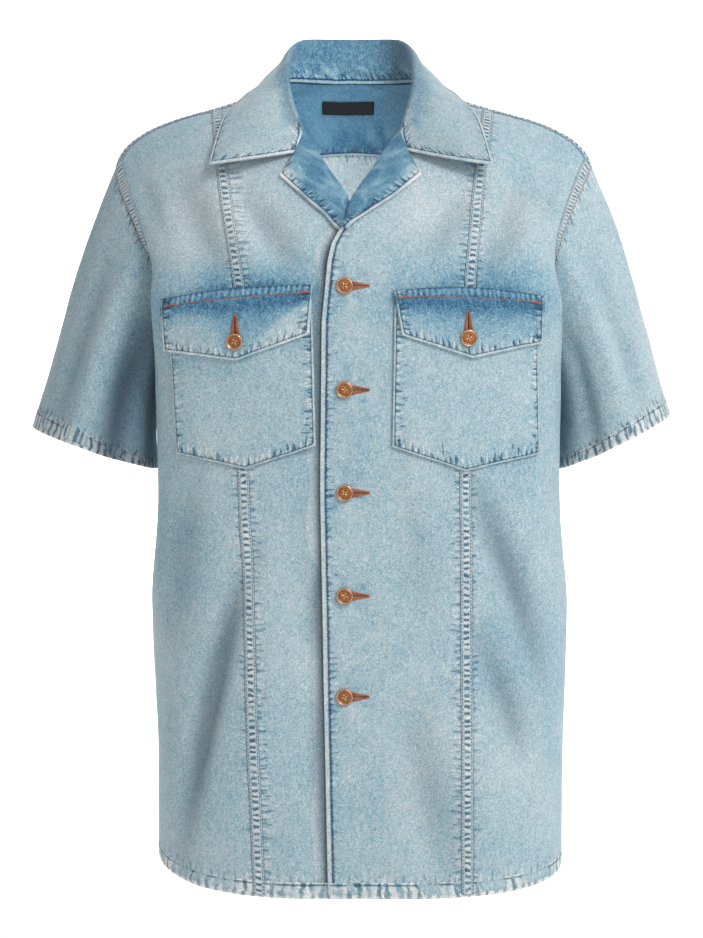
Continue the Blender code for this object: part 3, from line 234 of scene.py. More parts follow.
# Folds: face, where each starts and ends as x and z, half its breadth, its depth (below 0 it lies
# in) and how far it bends aside. The first ones are the main folds, the rest are creases.
folds = (
    ("front", -0.168, -0.066, -0.120, -0.175, 0.016, -0.0060, 0),
    ("front", -0.112, -0.084, -0.046, -0.172, 0.014, -0.0055, 0),
    ("front", -0.140, -0.070, -0.082, -0.176, 0.013, 0.0040, 0),
    ("front", 0.168, -0.072, 0.122, -0.178, 0.016, -0.0055, 0),
    ("front", 0.118, -0.080, 0.060, -0.160, 0.015, -0.0040, 0),
    ("front", -0.205, -0.066, -0.180, -0.130, 0.009, -0.0038, 0),
    ("front", 0.198, -0.070, 0.178, -0.125, 0.009, -0.0030, 0),
    ("front", -0.098, -0.430, -0.166, -0.725, 0.0130, -0.0120, 0.006),
    ("front", -0.066, -0.480, -0.118, -0.710, 0.022, 0.0045, 0),
    ("front", -0.150, -0.350, -0.176, -0.520, 0.016, -0.0060, 0),
    ("front", 0.106, -0.360, 0.182, -0.560, 0.015, -0.0090, -0.008),
    ("front", 0.110, -0.490, 0.168, -0.655, 0.014, -0.0070, -0.006),
    ("front", 0.050, -0.560, 0.090, -0.735, 0.020, -0.0050, 0),
    ("front", 0.160, -0.600, 0.182, -0.720, 0.018, 0.0050, 0),
    ("front", 0.150, -0.250, 0.165, -0.420, 0.014, 0.0035, 0),
    ("front", -0.055, -0.330, -0.030, -0.560, 0.016, -0.0022, 0.004),
    ("front", 0.040, -0.330, 0.062, -0.520, 0.018, -0.0026, -0.004),
    ("back", -0.150, -0.120, -0.098, -0.330, 0.022, -0.0075, 0),
    ("back", 0.142, -0.130, 0.104, -0.300, 0.020, -0.0065, 0),
    ("back", -0.075, -0.090, -0.060, -0.260, 0.020, 0.0042, 0),
    ("back", 0.060, -0.330, 0.098, -0.640, 0.024, -0.0080, 0.008),
    ("back", -0.100, -0.380, -0.150, -0.690, 0.022, -0.0085, -0.006),
    ("back", -0.020, -0.420, 0.012, -0.735, 0.026, 0.0060, 0),
    ("back", 0.130, -0.450, 0.165, -0.735, 0.018, 0.0055, 0),
    ("back", 0.020, -0.150, 0.034, -0.330, 0.018, -0.0035, 0.004),
    ("back", -0.050, -0.560, -0.064, -0.735, 0.016, -0.0045, 0),
)


def barePoint(side, row, across):
    # a point of the body without folds; below 0, across runs on into the other half
    side, row, across = np.broadcast_arrays(np.asarray(side, float), row, across)
    side = np.where(across < 0, -side, side)
    across = np.abs(across)
    v = between(bodyKnots, sectionTable, slopeIn, slopeOut, row.astype(float))
    a = across[..., None]
    r = 1 - a
    p = v[..., 2:5] * r**3 + v[..., 5:8] * 3 * a * r**2 + v[..., 8:11] * 3 * a**2 * r + v[..., 11:14] * a**3
    hemShare = np.clip(1 - np.minimum(row, lastRow - row), 0, None) ** 2
    x = v[..., 0] + (v[..., 1] - v[..., 0]) * across + side * p[..., 0]
    z = p[..., 2] - side * make["hemTilt"] * hemShare * across**2
    return np.stack([x, p[..., 1], z], -1)


def facing(side, row, across, shape):
    # outward normals of a shape of the body
    side, row, across = np.broadcast_arrays(np.asarray(side, float), row, across)
    side = np.where(across < 0, -side, side)
    across = np.abs(across)
    step = 0.004
    low = np.where(np.abs(row - nape) < step, nape, np.maximum(row - step, 0.0))
    high = np.minimum(row + step, lastRow)
    along = shape(side, high, across) - shape(side, low, across)
    acrossWay = shape(side, row, np.minimum(across + step, 1.0)) - shape(side, row, across - step)
    return unit(side[..., None] * np.cross(acrossWay, along))


def foldDepth(point, normal):
    x, z = point[..., 0], point[..., 2]
    isFront = normal[..., 1] < 0
    total = np.zeros(x.shape)
    for face, startX, startZ, endX, endZ, width, depth, bend in folds:
        runX, runZ = endX - startX, endZ - startZ
        long2 = runX * runX + runZ * runZ
        along = ((x - startX) * runX + (z - startZ) * runZ) / long2
        away = ((x - startX) * runZ - (z - startZ) * runX) / math.sqrt(long2)
        away = away - bend * 4 * along * (1 - along)
        taper = np.sin(np.pi * (np.clip(along, -0.1, 1.1) + 0.1) / 1.2)
        shape = depth * taper * hump(away, width)
        total += np.where(isFront == (face == "front"), shape, 0.0)
    return total * np.abs(normal[..., 1])


def bodyPoint(side, row, across):
    point = barePoint(side, row, across)
    normal = facing(side, row, across, barePoint)
    x, y, z = point[..., 0], point[..., 1], point[..., 2]
    uneven = 0.0005 * noise(x / 0.042, y / 0.060, z / 0.055, 1)
    uneven = uneven + 0.00022 * noise(x / 0.017, y / 0.02, z / 0.021, 2)
    return point + normal * (foldDepth(point, normal) + uneven)[..., None]


def bodyAt(side, row, across):
    # a point of the body and the way out of it
    return bodyPoint(side, row, across), facing(side, row, across, bodyPoint)


def seenAt(side, x, z, back=False):
    # the body point that is seen at x, z from the front or back, and the way out of it
    return bodyAt(side, *placeAt(side, x, z, back))


def lineX(line, z):
    zs, xs = zip(*line)
    return np.interp(z, zs, xs)


def acrossAt(side, row, target, low=-0.4, high=0.62):
    # the place across a section where target, a function of height, gives x
    row = np.asarray(row, float)
    low, high = np.full(row.shape, low), np.full(row.shape, high)
    for _ in range(26):  # each round halves the span
        middle = (low + high) / 2
        point = barePoint(side, row, middle)
        short = side * (point[..., 0] - target(point[..., 2])) < 0
        low, high = np.where(short, middle, low), np.where(short, high, middle)
    return (low + high) / 2


def placeAt(side, x, z, back=False):
    # row and place across of the body point that is seen at x, z from the front or back
    x, z = np.broadcast_arrays(np.asarray(x, float), z)
    flatX, flatZ = x.ravel(), z.ravel()
    first, last = (nape + 0.2, lastRow) if back else (0.0, rowOf["shoulder"] - 0.3)
    rows, columns = np.meshgrid(np.linspace(first, last, 60), np.linspace(-0.4, 0.7, 40), indexing="ij")
    known = barePoint(side, rows, columns)
    row, across = np.empty(flatX.shape), np.empty(flatX.shape)
    for start in range(0, len(flatX), 2000):
        part = slice(start, start + 2000)
        gap = (known[..., 0].ravel()[None] - flatX[part, None]) ** 2
        gap += (known[..., 2].ravel()[None] - flatZ[part, None]) ** 2
        best = gap.argmin(1)
        row[part], across[part] = rows.ravel()[best], columns.ravel()[best]
    step = 0.002
    for _ in range(7):
        here = barePoint(side, row, across)
        byRow = (barePoint(side, row + step, across) - here) / step
        byAcross = (barePoint(side, row, across + step) - here) / step
        missX, missZ = flatX - here[:, 0], flatZ - here[:, 2]
        det = byRow[:, 0] * byAcross[:, 2] - byRow[:, 2] * byAcross[:, 0]
        det = np.where(np.abs(det) < 1e-9, 1e-9, det)
        row = row + np.clip((missX * byAcross[:, 2] - missZ * byAcross[:, 0]) / det, -0.3, 0.3)
        across = across + np.clip((missZ * byRow[:, 0] - missX * byRow[:, 2]) / det, -0.1, 0.1)
        row = np.clip(row, first, last)
        across = np.clip(across, -0.45, 0.78)
    return row.reshape(x.shape), across.reshape(x.shape)


def edgePlace(side, row):
    row = np.asarray(row, float)
    found = acrossAt(side, row, lambda z: lineX(edgeLine[side], z))
    return np.where(row >= rowOf["crossing"], 0.0, found)


sectionLong = float(np.linalg.norm(barePoint(1, 0.0, 0.2) - barePoint(1, 1.0, 0.2)))


def wallDepth(row):
    fromHem = np.minimum(row, lastRow - row) * sectionLong
    return np.where(fromHem < make["bodyHem"], make["hemCloth"], make["cloth"])


def lapSink(side, row, point):
    # how far the right front lies in, where the left front covers it
    if side == left:
        return np.zeros(point.shape[:-1])
    x, z = point[..., 0], point[..., 2]
    topZ, topX = edgeLine[left][-1]
    cover = np.where(z > topZ, topX + (z - topZ) * 0.65, lineX(edgeLine[left], z))
    byLapels = smoothStep(-0.185, -0.145, z) * (1 - smoothStep(-0.098, -0.074, z))
    depth = wallDepth(row) + make["lapGap"] + make["lapelSink"] * byLapels
    return depth * smoothStep(cover - 0.030, cover - 0.006, x)


def metresAcross(side, row, across):
    # metres for one share of a section
    step = 0.01
    return np.linalg.norm(barePoint(side, row, across) - barePoint(side, row, across - step), axis=-1) / step


def gapAcross(side, row, across):
    return make["seamGap"] / 2 / metresAcross(side, row, across)


def rowsIn(metres, row, across=0.5):
    # how many rows this length takes up
    step = 0.02
    long = np.linalg.norm(barePoint(left, row + step, across) - barePoint(left, row - step, across), axis=-1)
    return 2 * step * metres / long


def gapAlong(row, across=0.5):
    return rowsIn(make["seamGap"] / 2, row, across)


def evenRows(first, last, pitch, across=0.4):
    # rows about one pitch apart along the body, with one on each section
    rows = [float(first)]
    stops = list(range(math.ceil(first + 1e-6), math.floor(last) + 1))
    if (stops or [first])[-1] < last - 1e-6:
        stops.append(last)
    for row in stops:
        long = np.linalg.norm(barePoint(left, row, across) - barePoint(left, rows[-1], across))
        count = max(1, int(round(long / pitch)))
        rows += list(rows[-1] + (row - rows[-1]) * (np.arange(count) + 1) / count)
    return np.array(rows)


# Meshes from grids of points.
collection = bpy.data.collections.new("denimShirt")
bpy.context.scene.collection.children.link(collection)


def addObject(name, data, home=collection):
    item = bpy.data.objects.new(name, data)
    home.objects.link(item)
    return item


def quadMesh(name, points, quads, corners, fields, materials, slots):
    mesh = bpy.data.meshes.new(name)
    mesh.vertices.add(len(points))
    mesh.vertices.foreach_set("co", np.asarray(points, np.float32).ravel())
    mesh.loops.add(quads.size)
    mesh.loops.foreach_set("vertex_index", quads.astype(np.int32).ravel())
    mesh.polygons.add(len(quads))
    mesh.polygons.foreach_set("loop_start", np.arange(0, quads.size, 4, dtype=np.int32))
    mesh.polygons.foreach_set("use_smooth", np.ones(len(quads), bool))
    for material in materials:
        mesh.materials.append(material)
    mesh.polygons.foreach_set("material_index", slots.astype(np.int32))
    mesh.update(calc_edges=True)
    mesh.uv_layers.new(name="weave").data.foreach_set("uv", np.asarray(corners, np.float32).ravel())
    for key, values in fields.items():
        kind, word = ("FLOAT_VECTOR", "vector") if values.ndim == 2 else ("FLOAT", "value")
        mesh.attributes.new(key, kind, "POINT").data.foreach_set(word, values.astype(np.float32).ravel())
    mesh.validate()
    return addObject(name, mesh)


def wall(name, outer, inner, materials, fields, ring=False, bead=0.5):
    # a closed wall between two grids of points with rounded edges; a ring's last column meets its first
    beadSteps = 2
    high, wide = outer.shape[:2]
    middle = (outer + inner) / 2
    out = np.zeros_like(outer)
    out[0] += unit(middle[0] - middle[1])
    out[-1] += unit(middle[-1] - middle[-2])
    if not ring:
        out[:, 0] += unit(middle[:, 0] - middle[:, 1])
        out[:, -1] += unit(middle[:, -1] - middle[:, -2])
    out = unit(out)
    index = np.arange(high * wide).reshape(high, wide)
    runU = gridRuns(np.concatenate([outer, outer[:, :1]], 1) if ring else outer)[1]
    runV = runOf(outer)
    if ring:
        runV = np.concatenate([runV, runV[:, :1]], 1)
        nextIndex = np.roll(index, -1, 1)
        a, b, c, d = index[:-1], nextIndex[:-1], nextIndex[1:], index[1:]
    else:
        a, b, c, d = index[:-1, :-1], index[:-1, 1:], index[1:, 1:], index[1:, :-1]
    uv = np.stack([runU, runV], -1)
    front = np.stack([a, b, c, d], -1).reshape(-1, 4)
    frontUv = np.stack([uv[:-1, :-1], uv[:-1, 1:], uv[1:, 1:], uv[1:, :-1]], 2).reshape(-1, 4, 2)
    offset = high * wide
    if ring:
        loops = [(index[0], uv[0, :-1]), (index[-1][::-1], uv[-1, :-1][::-1])]
    else:
        loops = [[np.concatenate([grid[0, :-1], grid[:-1, -1], grid[-1, :0:-1], grid[:0:-1, 0]])
                  for grid in (index, uv)]]
    points, source = [outer.reshape(-1, 3), inner.reshape(-1, 3)], [index.ravel(), index.ravel()]
    quads, corners = [front, front[:, ::-1] + offset], [frontUv, frontUv[:, ::-1]]
    slots = [np.zeros(len(front)), np.ones(len(front))]
    count = 2 * offset
    flatOut, flatMiddle = out.reshape(-1, 3), middle.reshape(-1, 3)
    for loop, loopUv in loops:
        half = points[0][loop] - flatMiddle[loop]
        size = np.linalg.norm(half, axis=1, keepdims=True)
        rings = [loop]
        for k in range(1, beadSteps + 1):
            angle = math.pi * k / (beadSteps + 1)
            swell = flatOut[loop] * size * bead * 2 * math.sin(angle)
            points.append(flatMiddle[loop] + half * math.cos(angle) + swell)
            rings.append(np.arange(count, count + len(loop)))
            source.append(loop)
            count += len(loop)
        rings.append(loop + offset)
        nextUv = np.roll(loopUv, -1, 0)
        for k, (near, far) in enumerate(zip(rings, rings[1:])):
            quads.append(np.stack([np.roll(near, -1), near, far, np.roll(far, -1)], 1))
            corners.append(np.stack([nextUv, loopUv, loopUv, nextUv], 1))
            slots.append(np.zeros(len(loop)) + (k > beadSteps // 2 + 1))
    points, quads = np.concatenate(points), np.concatenate(quads)
    corners, slots = np.concatenate(corners), np.concatenate(slots) * (len(materials) > 1)
    sample = front[:: max(1, len(front) // 400)]
    first, second, third, fourth = (points[sample[:, k]] for k in range(4))
    normals = np.cross(third - first, fourth - second)
    if (normals * (first - points[sample[:, 0] + offset])).sum() < 0:
        quads, corners = quads[:, ::-1], corners[:, ::-1]
    source = np.concatenate(source)
    flat = np.zeros((high, wide))
    none = seamField(flat, 1, 0)
    fields = {"sides": none, "ends": none, "edge": flat + 1, "shade": flat, **fields}
    fields = {key: values.reshape((offset,) + values.shape[2:])[source] for key, values in fields.items()}
    return quadMesh(name, points, quads, corners, fields, materials, slots)


def seamField(run, away, weight=1.0):
    # how far along a seam and away from it each point is, and how strongly the seam puckers there
    return np.stack(np.broadcast_arrays(run, away, weight), -1).astype(float)


def gridNormals(grid):
    return unit(np.cross(np.gradient(grid, axis=1), np.gradient(grid, axis=0)))


def dress(piece, nodes):
    if nodes:
        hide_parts(*nodes)
    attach(piece, "root")


# Materials.
def hexColour(text):
    # an sRGB hex value as linear colour
    parts = [int(text[i : i + 2], 16) / 255 for i in (1, 3, 5)]
    return tuple(p / 12.92 if p <= 0.04045 else ((p + 0.055) / 1.055) ** 2.4 for p in parts) + (1.0,)


def addNode(tree, kind, settings):
    # a node with its properties, input values and links; a link is a node and one of its outputs
    node = tree.nodes.new("ShaderNode" + kind)
    for key, value in settings.items():
        if isinstance(value, tuple) and isinstance(value[0], bpy.types.Node):
            tree.links.new(value[0].outputs[value[1]], node.inputs[key])
        elif isinstance(key, str) and hasattr(node, key):
            setattr(node, key, value)
        else:
            node.inputs[key].default_value = value
    return node


def newMaterial(name, settings):
    # a material with these values on its shader's sockets
    material = bpy.data.materials.new(name)
    material.use_nodes = True
    shader = material.node_tree.nodes["Principled BSDF"]
    for key, value in settings.items():
        shader.inputs[key].default_value = value
    return material, material.node_tree, shader


def connect(tree, node, links):
    for key, (source, output) in links.items():
        tree.links.new(source.outputs[output], node.inputs[key])


def setStops(ramp, stops):
    # colour stops as place and hex colour
    elements = ramp.color_ramp.elements
    while len(elements) > 1:
        elements.remove(elements[-1])
    for index, (place, colour) in enumerate(stops):
        element = elements[0] if index == 0 else elements.new(place)
        element.position = place
        element.color = hexColour(colour)


def reckon(tree, value, *steps):
    # a value taken through sums one after another, each an operation and its other terms
    for operation, *terms in steps:
        inputs = {index + 1: term for index, term in enumerate(terms)}
        value = addNode(tree, "Math", {"operation": operation, 0: value, **inputs}), 0
    return value


def bell(tree, value, centre, width):
    # 1 at the centre, falling off on both sides
    gap = reckon(tree, value, ("SUBTRACT", centre), ("DIVIDE", width))
    return reckon(tree, gap, ("MULTIPLY", gap), ("MULTIPLY", -1.0), ("EXPONENT",))


def cellNoise(tree, field, scale, place, settings):
    # noise from 0 to 1 on a stretched field
    shape = addNode(tree, "Mapping", {"Location": (0, 0, place), "Scale": scale, "Vector": field})
    return addNode(tree, "TexNoise", {"Scale": 1.0, **settings, "Vector": (shape, 0)}), "Fac"


def seamParts(tree, name):
    # a seam's field, and in it the run along the seam, the distance from it and its strength
    field = addNode(tree, "Attribute", {"attribute_name": name}), "Vector"
    parts = addNode(tree, "SeparateXYZ", {0: field})
    return field, (parts, 0), (parts, 1), (parts, 2)


def puckerMarks(tree, name, look, seed):
    # lumps above 0 and hollows below 0 along a shrunken seam, each narrowing to a point away from it
    field, run, away, weight = seamParts(tree, name)
    stretch = (1 / look["period"], 0.28 / look["period"], 0)
    cells = cellNoise(tree, field, stretch, seed, {"Detail": 1.5, "Roughness": 0.55})
    # a steady wave that the cells push about, so that no two lumps are alike
    phase = reckon(tree, cells, ("MULTIPLY_ADD", 1.5, reckon(tree, run, ("MULTIPLY", 1 / look["cycle"]))))
    wave = reckon(tree, phase, ("MULTIPLY", 2 * math.pi), ("SINE",))
    swing = reckon(tree, wave, ("MULTIPLY_ADD", 0.11, reckon(tree, cells, ("SUBTRACT", 0.48))))
    rest = reckon(tree, away, ("MULTIPLY_ADD", -0.15 / look["reach"], reckon(tree, swing, ("ABSOLUTE",))))
    size = reckon(tree, rest, ("MAXIMUM", 0.0), ("MULTIPLY", 9.0), ("MINIMUM", 1.0))
    return reckon(tree, size, ("MULTIPLY", reckon(tree, swing, ("SIGN",))), ("MULTIPLY", weight))


def rungMarks(tree, rungs):
    # rungs across a sewn-down fold: troughs full of dye between worn lumps, from -1 to 1
    field, run, away, width = seamParts(tree, "sides")
    sway = cellNoise(tree, field, (1 / 0.011, 1 / 0.012, 0), 0, {"Detail": 1.0})
    patches = cellNoise(tree, field, (1 / 0.0045, 1 / 0.008, 0), 7.3, {"Detail": 2.0})
    groups = cellNoise(tree, field, (1 / 0.020, 1 / 0.060, 0), 3.1, {"Detail": 1.0})
    phase = reckon(tree, run, ("MULTIPLY", 1 / rungs["period"]))
    phase = reckon(tree, away, ("MULTIPLY_ADD", rungs["slant"] / rungs["period"], phase))
    phase = reckon(tree, sway, ("MULTIPLY_ADD", rungs["sway"], phase))
    wave = reckon(tree, phase, ("MULTIPLY", 2 * math.pi), ("SINE",))
    uneven = reckon(tree, patches, ("SUBTRACT", 0.5), ("MULTIPLY", rungs["uneven"]))
    toEdge = reckon(tree, away, ("MINIMUM", reckon(tree, width, ("SUBTRACT", away))))
    strong = addNode(tree, "MapRange", {"From Min": 0.34, "From Max": 0.58, "To Min": rungs["weak"],
                                        "Value": groups})
    inside = addNode(tree, "MapRange", {"From Min": rungs["from"], "From Max": rungs["from"] + 0.0008,
                                        "Value": toEdge})
    value = reckon(tree, wave, ("ADD", uneven), ("ADD", rungs["bias"]), ("MULTIPLY", 1.6), ("MINIMUM", 1.0),
                   ("MAXIMUM", -1.0), ("MULTIPLY", (strong, "Result")), ("MULTIPLY", (inside, "Result")))
    return value, toEdge


# Indigo denim after stone washing: high spots lose dye and go pale, hollows keep it and stay blue.
indigo = ((0.00, "#234B68"), (0.12, "#3F7092"), (0.26, "#6593AD"), (0.39, "#8AAFC0"),
          (0.50, "#A7BFC9"), (0.64, "#BECDD3"), (0.82, "#D9DEDF"), (1.00, "#F1F0ED"))


def washedDenim(name, look):
    # tone on the mesh runs from -1, full of dye, to 1, worn white; matt cotton with a faint nap
    look = {**denim, **look}
    stitchAt, rungs = look["stitchAt"], look["rungs"]
    material, tree, shader = newMaterial(name, {
        "Sheen Weight": 0.10, "Sheen Roughness": 0.6, "Specular IOR Level": 0.25,
    })
    place = addNode(tree, "TexCoord", {}), "Object"
    tone = addNode(tree, "Attribute", {"attribute_name": "tone"}), "Fac"
    total = reckon(tree, tone, ("ADD", look["tone"]))
    for size, amount, detail, stretch in look["mottle"]:
        # size across in mm, how far it moves the tone, fine detail, and how long it runs down the warp
        spots = cellNoise(tree, place, (1, 1, 1 / stretch), 0,
                          {"Scale": 1000 / size, "Detail": detail, "Roughness": 0.65})
        total = reckon(tree, total, ("ADD", reckon(tree, spots, ("MULTIPLY_ADD", amount * 2, -amount))))
    # grey yarn ends 0.9 mm apart show as a grain that leaves the dye's hue alone
    yarn = addNode(tree, "TexNoise", {"Scale": 1000 / 0.9, "Detail": 2.0, "Roughness": 0.7, "Vector": place})
    grain = addNode(tree, "MapRange", {"From Min": 0.3, "From Max": 0.7, "To Min": 1 - look["grain"],
                                       "To Max": 1 + look["grain"], "Value": (yarn, "Fac")})
    edge = addNode(tree, "Attribute", {"attribute_name": "edge"}), "Fac"
    if rungs:
        marks, toEdge = rungMarks(tree, rungs)
        # the cord is a pale worn fold; a rung outline below 0 is a painted shadow along the strip's edges
        for centre, width, amount in ((rungs["cordAt"], 0.0011, rungs["cord"]),
                                      (0.0, 0.0006, rungs["outline"])):
            total = reckon(tree, bell(tree, toEdge, centre, width), ("MULTIPLY_ADD", amount, total))
    else:
        past = addNode(tree, "MapRange", {"From Min": stitchAt - 0.0004, "From Max": stitchAt + 0.0004,
                                          "Value": edge})
        sides, ends = puckerMarks(tree, "sides", look, 1.7), puckerMarks(tree, "ends", look, 5.2)
        marks = reckon(tree, sides, ("ADD", ends), ("MULTIPLY", (past, "Result")))
    total = reckon(tree, marks, ("MULTIPLY_ADD", look["marks"], total))
    border = addNode(tree, "MapRange", {"From Min": stitchAt - 0.0002, "From Max": stitchAt - 0.0009,
                                        "Value": edge})
    total = reckon(tree, (border, "Result"), ("MULTIPLY_ADD", look["pale"], total))
    # an outline below 0 is a painted shadow along the very edge of a piece
    for centre, width, amount in ((0.0, 0.0005, look["outline"]), (stitchAt + 0.004, 0.005, -look["blue"]),
                                  (stitchAt, look["grooveWide"], look["groove"])):
        total = reckon(tree, bell(tree, edge, centre, width), ("MULTIPLY_ADD", amount, total))
    share = addNode(tree, "MapRange", {"From Min": -1.0, "From Max": 1.0, "Value": total})
    ramp = addNode(tree, "ValToRGB", {"Fac": (share, "Result")})
    setStops(ramp, indigo)
    # painted shade: the mesh's shade attribute, with the hollows of the puckers, mixes the dye colour toward
    # a shadow grey; the grey of the pucker hollows is partly dirt and partly painted shade
    shade = addNode(tree, "Attribute", {"attribute_name": "shade"}), "Fac"
    paintedShadeAndDirt = reckon(tree, marks, ("MULTIPLY", -1.0), ("MAXIMUM", 0.0), ("MULTIPLY_ADD", look["hollowDirtAndShade"], shade))
    dyedAndShaded = addNode(tree, "Mix", {"data_type": "RGBA", 0: paintedShadeAndDirt, 6: (ramp, "Color"), 7: hexColour("#475967")})
    # twill wales lie 1.1 mm apart here, coarser than the real 0.6 mm so that they can show
    twill = addNode(tree, "TexWave", {
        "bands_direction": "DIAGONAL", "Scale": 0.444 / 0.0011, "Distortion": 1.5, "Detail": 1.0,
        "Detail Scale": 2.0, "Vector": (addNode(tree, "UVMap", {"uv_map": "weave"}), "UV"),
    })
    wale = addNode(tree, "MapRange", {"To Min": look["waleDark"], "To Max": 1.0, "Value": (twill, "Fac")})
    thread = reckon(tree, (wale, "Result"), ("MULTIPLY", (grain, "Result")))
    colour = addNode(tree, "Mix", {"data_type": "RGBA", "blend_type": "MULTIPLY", 0: 1.0, 6: (dyedAndShaded, 2),
                                   7: thread})
    height = reckon(tree, marks, ("MULTIPLY", look["lump"]))
    height = reckon(tree, spots, ("MULTIPLY_ADD", look["nap"], height))
    height = reckon(tree, (twill, "Fac"), ("MULTIPLY_ADD", look["wale"], height))
    bump = addNode(tree, "Bump", {"Strength": 1.0, "Distance": 1.0, "Height": height})
    rough = addNode(tree, "MapRange", {"To Min": 0.80, "To Max": 0.95, "Value": spots})
    connect(tree, shader, {"Base Color": (colour, 2), "Normal": (bump, 0), "Roughness": (rough, "Result")})
    material.diffuse_color = hexColour("#A7BFC9")
    return material


# Pucker hollows go grey, partly as dirt and partly as painted shade; an outline below 0 is a painted shadow
# along a piece's very edge.
denim = {
    "tone": 0.02, "waleDark": 0.93, "nap": 0.00012, "wale": 0.00008, "grain": 0.40,  # heights in metres
    "mottle": ((34.0, 0.12, 2.0, 1.0), (7.0, 0.20, 2.0, 1.2), (2.2, 0.50, 3.0, 1.6), (1.1, 0.48, 1.0, 1.1)),
    "cycle": 0.0062, "period": 0.0030, "reach": 0.0072, "marks": 0.46, "lump": 0.00045, "hollowDirtAndShade": 0.40,
    "stitchAt": 0.0026, "pale": 0.34, "outline": 0.0, "groove": -0.50, "grooveWide": 0.0008, "blue": 0.08,
    "rungs": None,
}
# the seams' rung outline is a painted shadow along the strips' edges
seamRungs = {"period": 0.0058, "slant": 0.0, "sway": 0.9, "uneven": 2.2, "bias": 0.10, "weak": 0.5,
             "from": 0.0026, "cordAt": 0.0014, "cord": 0.44, "outline": -0.80}
hemRungs = {"period": 0.0092, "slant": 0.12, "sway": 1.1, "uneven": 3.6, "bias": 0.30, "weak": 0.3,
            "from": -0.001, "cordAt": 0.0, "cord": 0.30, "outline": 0.0}
cuffRungs = {**hemRungs, "period": 0.0088, "slant": 0.06, "sway": 0.7, "uneven": 1.2, "bias": 0.40,
             "weak": 0.7}
armholeRungs = {**seamRungs, "period": 0.0040, "uneven": 3.0, "cord": 0.50}
lightDenim = washedDenim("washedDenim", {"stitchAt": 0.0046, "pale": 0.40, "marks": 0.42, "groove": -1.05,
                                           "grooveWide": 0.0013})
insideDenim = washedDenim("washedDenimInside", {"tone": 0.24, "waleDark": 0.96, "marks": 0.15, "pale": 0.1})
bothFaces = (lightDenim, insideDenim)
# outlines below 0 here are painted shadows along the very edges of the pockets, flaps and collar
patchDenim = washedDenim("washedDenimPatch", {"marks": 0.50, "reach": 0.0085, "stitchAt": 0.0021,
                                              "outline": -0.45})
seamDenim = washedDenim("washedDenimSeam", {"marks": 0.60, "rungs": seamRungs, "lump": 0.0005, "pale": 0.0,
                                            "hollowDirtAndShade": 0.55})
armholeDenim = washedDenim("washedDenimArmhole", {"tone": 0.14, "marks": 0.50, "rungs": armholeRungs,
                                                  "lump": 0.0004, "pale": 0.0, "hollowDirtAndShade": 0.45})
hemDenim = washedDenim("washedDenimHem", {"tone": 0.20, "marks": 0.52, "rungs": hemRungs, "lump": 0.0006,
                                          "pale": 0.0})
cuffDenim = washedDenim("washedDenimCuff", {"tone": 0.16, "marks": 0.44, "rungs": cuffRungs, "lump": 0.0006,
                                            "pale": 0.0, "hollowDirtAndShade": 0.55})
midDenim = washedDenim("midBlueDenim", {"tone": 0.06, "marks": 0.50, "outline": -0.45, "reach": 0.0080})
collarDenim = washedDenim("midBlueDenimCollar", {
    "tone": 0.10, "marks": 0.46, "outline": -0.30, "reach": 0.0080, "stitchAt": 0.0034, "pale": 0.52,
    "groove": -0.95, "grooveWide": 0.0010,
})
darkDenim = washedDenim("deepBlueDenim", {
    "tone": -0.42, "marks": 0.46, "pale": 0.62, "grain": 0.16,
    "mottle": ((34.0, 0.08, 2.0, 1.0), (7.0, 0.10, 2.0, 1.2), (2.2, 0.26, 3.0, 1.6), (1.1, 0.24, 1.0, 1.1)),
})


def spunThread(name, colour, pale):
    # waxed polyester sewing thread: dull, a little uneven where washing rubbed it
    material, tree, shader = newMaterial(name, {"Roughness": 0.6})
    place = addNode(tree, "TexCoord", {}), "Object"
    rubbed = addNode(tree, "TexNoise", {"Scale": 1000 / 7.0, "Detail": 2.0, "Vector": place})
    ramp = addNode(tree, "ValToRGB", {"Fac": (rubbed, "Fac")})
    setStops(ramp, ((0.30, colour), (0.72, pale)))
    # the plies lie 0.4 mm apart along the thread
    plies = addNode(tree, "TexWave", {"Scale": 0.314 / 0.0004, "Vector": place})
    bump = addNode(tree, "Bump", {"Strength": 0.3, "Distance": 0.0002, "Height": (plies, "Fac")})
    connect(tree, shader, {"Base Color": (ramp, "Color"), "Normal": (bump, 0)})
    return material


brownThread = spunThread("brownThread", "#5E5256", "#857C80")
orangeThread = spunThread("orangeThread", "#B5592F", "#D08A5C")
holeThread = spunThread("buttonholeThread", "#B0603A", "#CF9068")
slitShadow = spunThread("slitThread", "#4A2C22", "#6E4634")


def castCopper():
    # antique copper: dark patina left in the hollows, bright where hands polish the high parts
    material, tree, shader = newMaterial("antiqueCopper", {"Metallic": 1.0})
    tone = addNode(tree, "Attribute", {"attribute_name": "tone"}), "Fac"
    # spots of patina 1.2 mm across
    spots = addNode(tree, "TexNoise", {"Scale": 1000 / 1.2, "Detail": 3.0,
                                       "Vector": (addNode(tree, "TexCoord", {}), "Object")}), "Fac"
    total = reckon(tree, spots, ("MULTIPLY_ADD", 0.5, tone))
    share = addNode(tree, "MapRange", {"From Min": -0.7, "From Max": 1.0, "Value": total}), "Result"
    ramp = addNode(tree, "ValToRGB", {"Fac": share})
    setStops(ramp, ((0.10, "#3E2210"), (0.40, "#B4754A"), (0.74, "#F6D3B4")))
    rough = addNode(tree, "MapRange", {"To Min": 0.52, "To Max": 0.26, "Value": share})
    bump = addNode(tree, "Bump", {"Strength": 0.15, "Distance": 0.0001, "Height": spots})
    connect(tree, shader, {"Base Color": (ramp, 0), "Roughness": (rough, "Result"), "Normal": (bump, 0)})
    return material


oldCopper = castCopper()


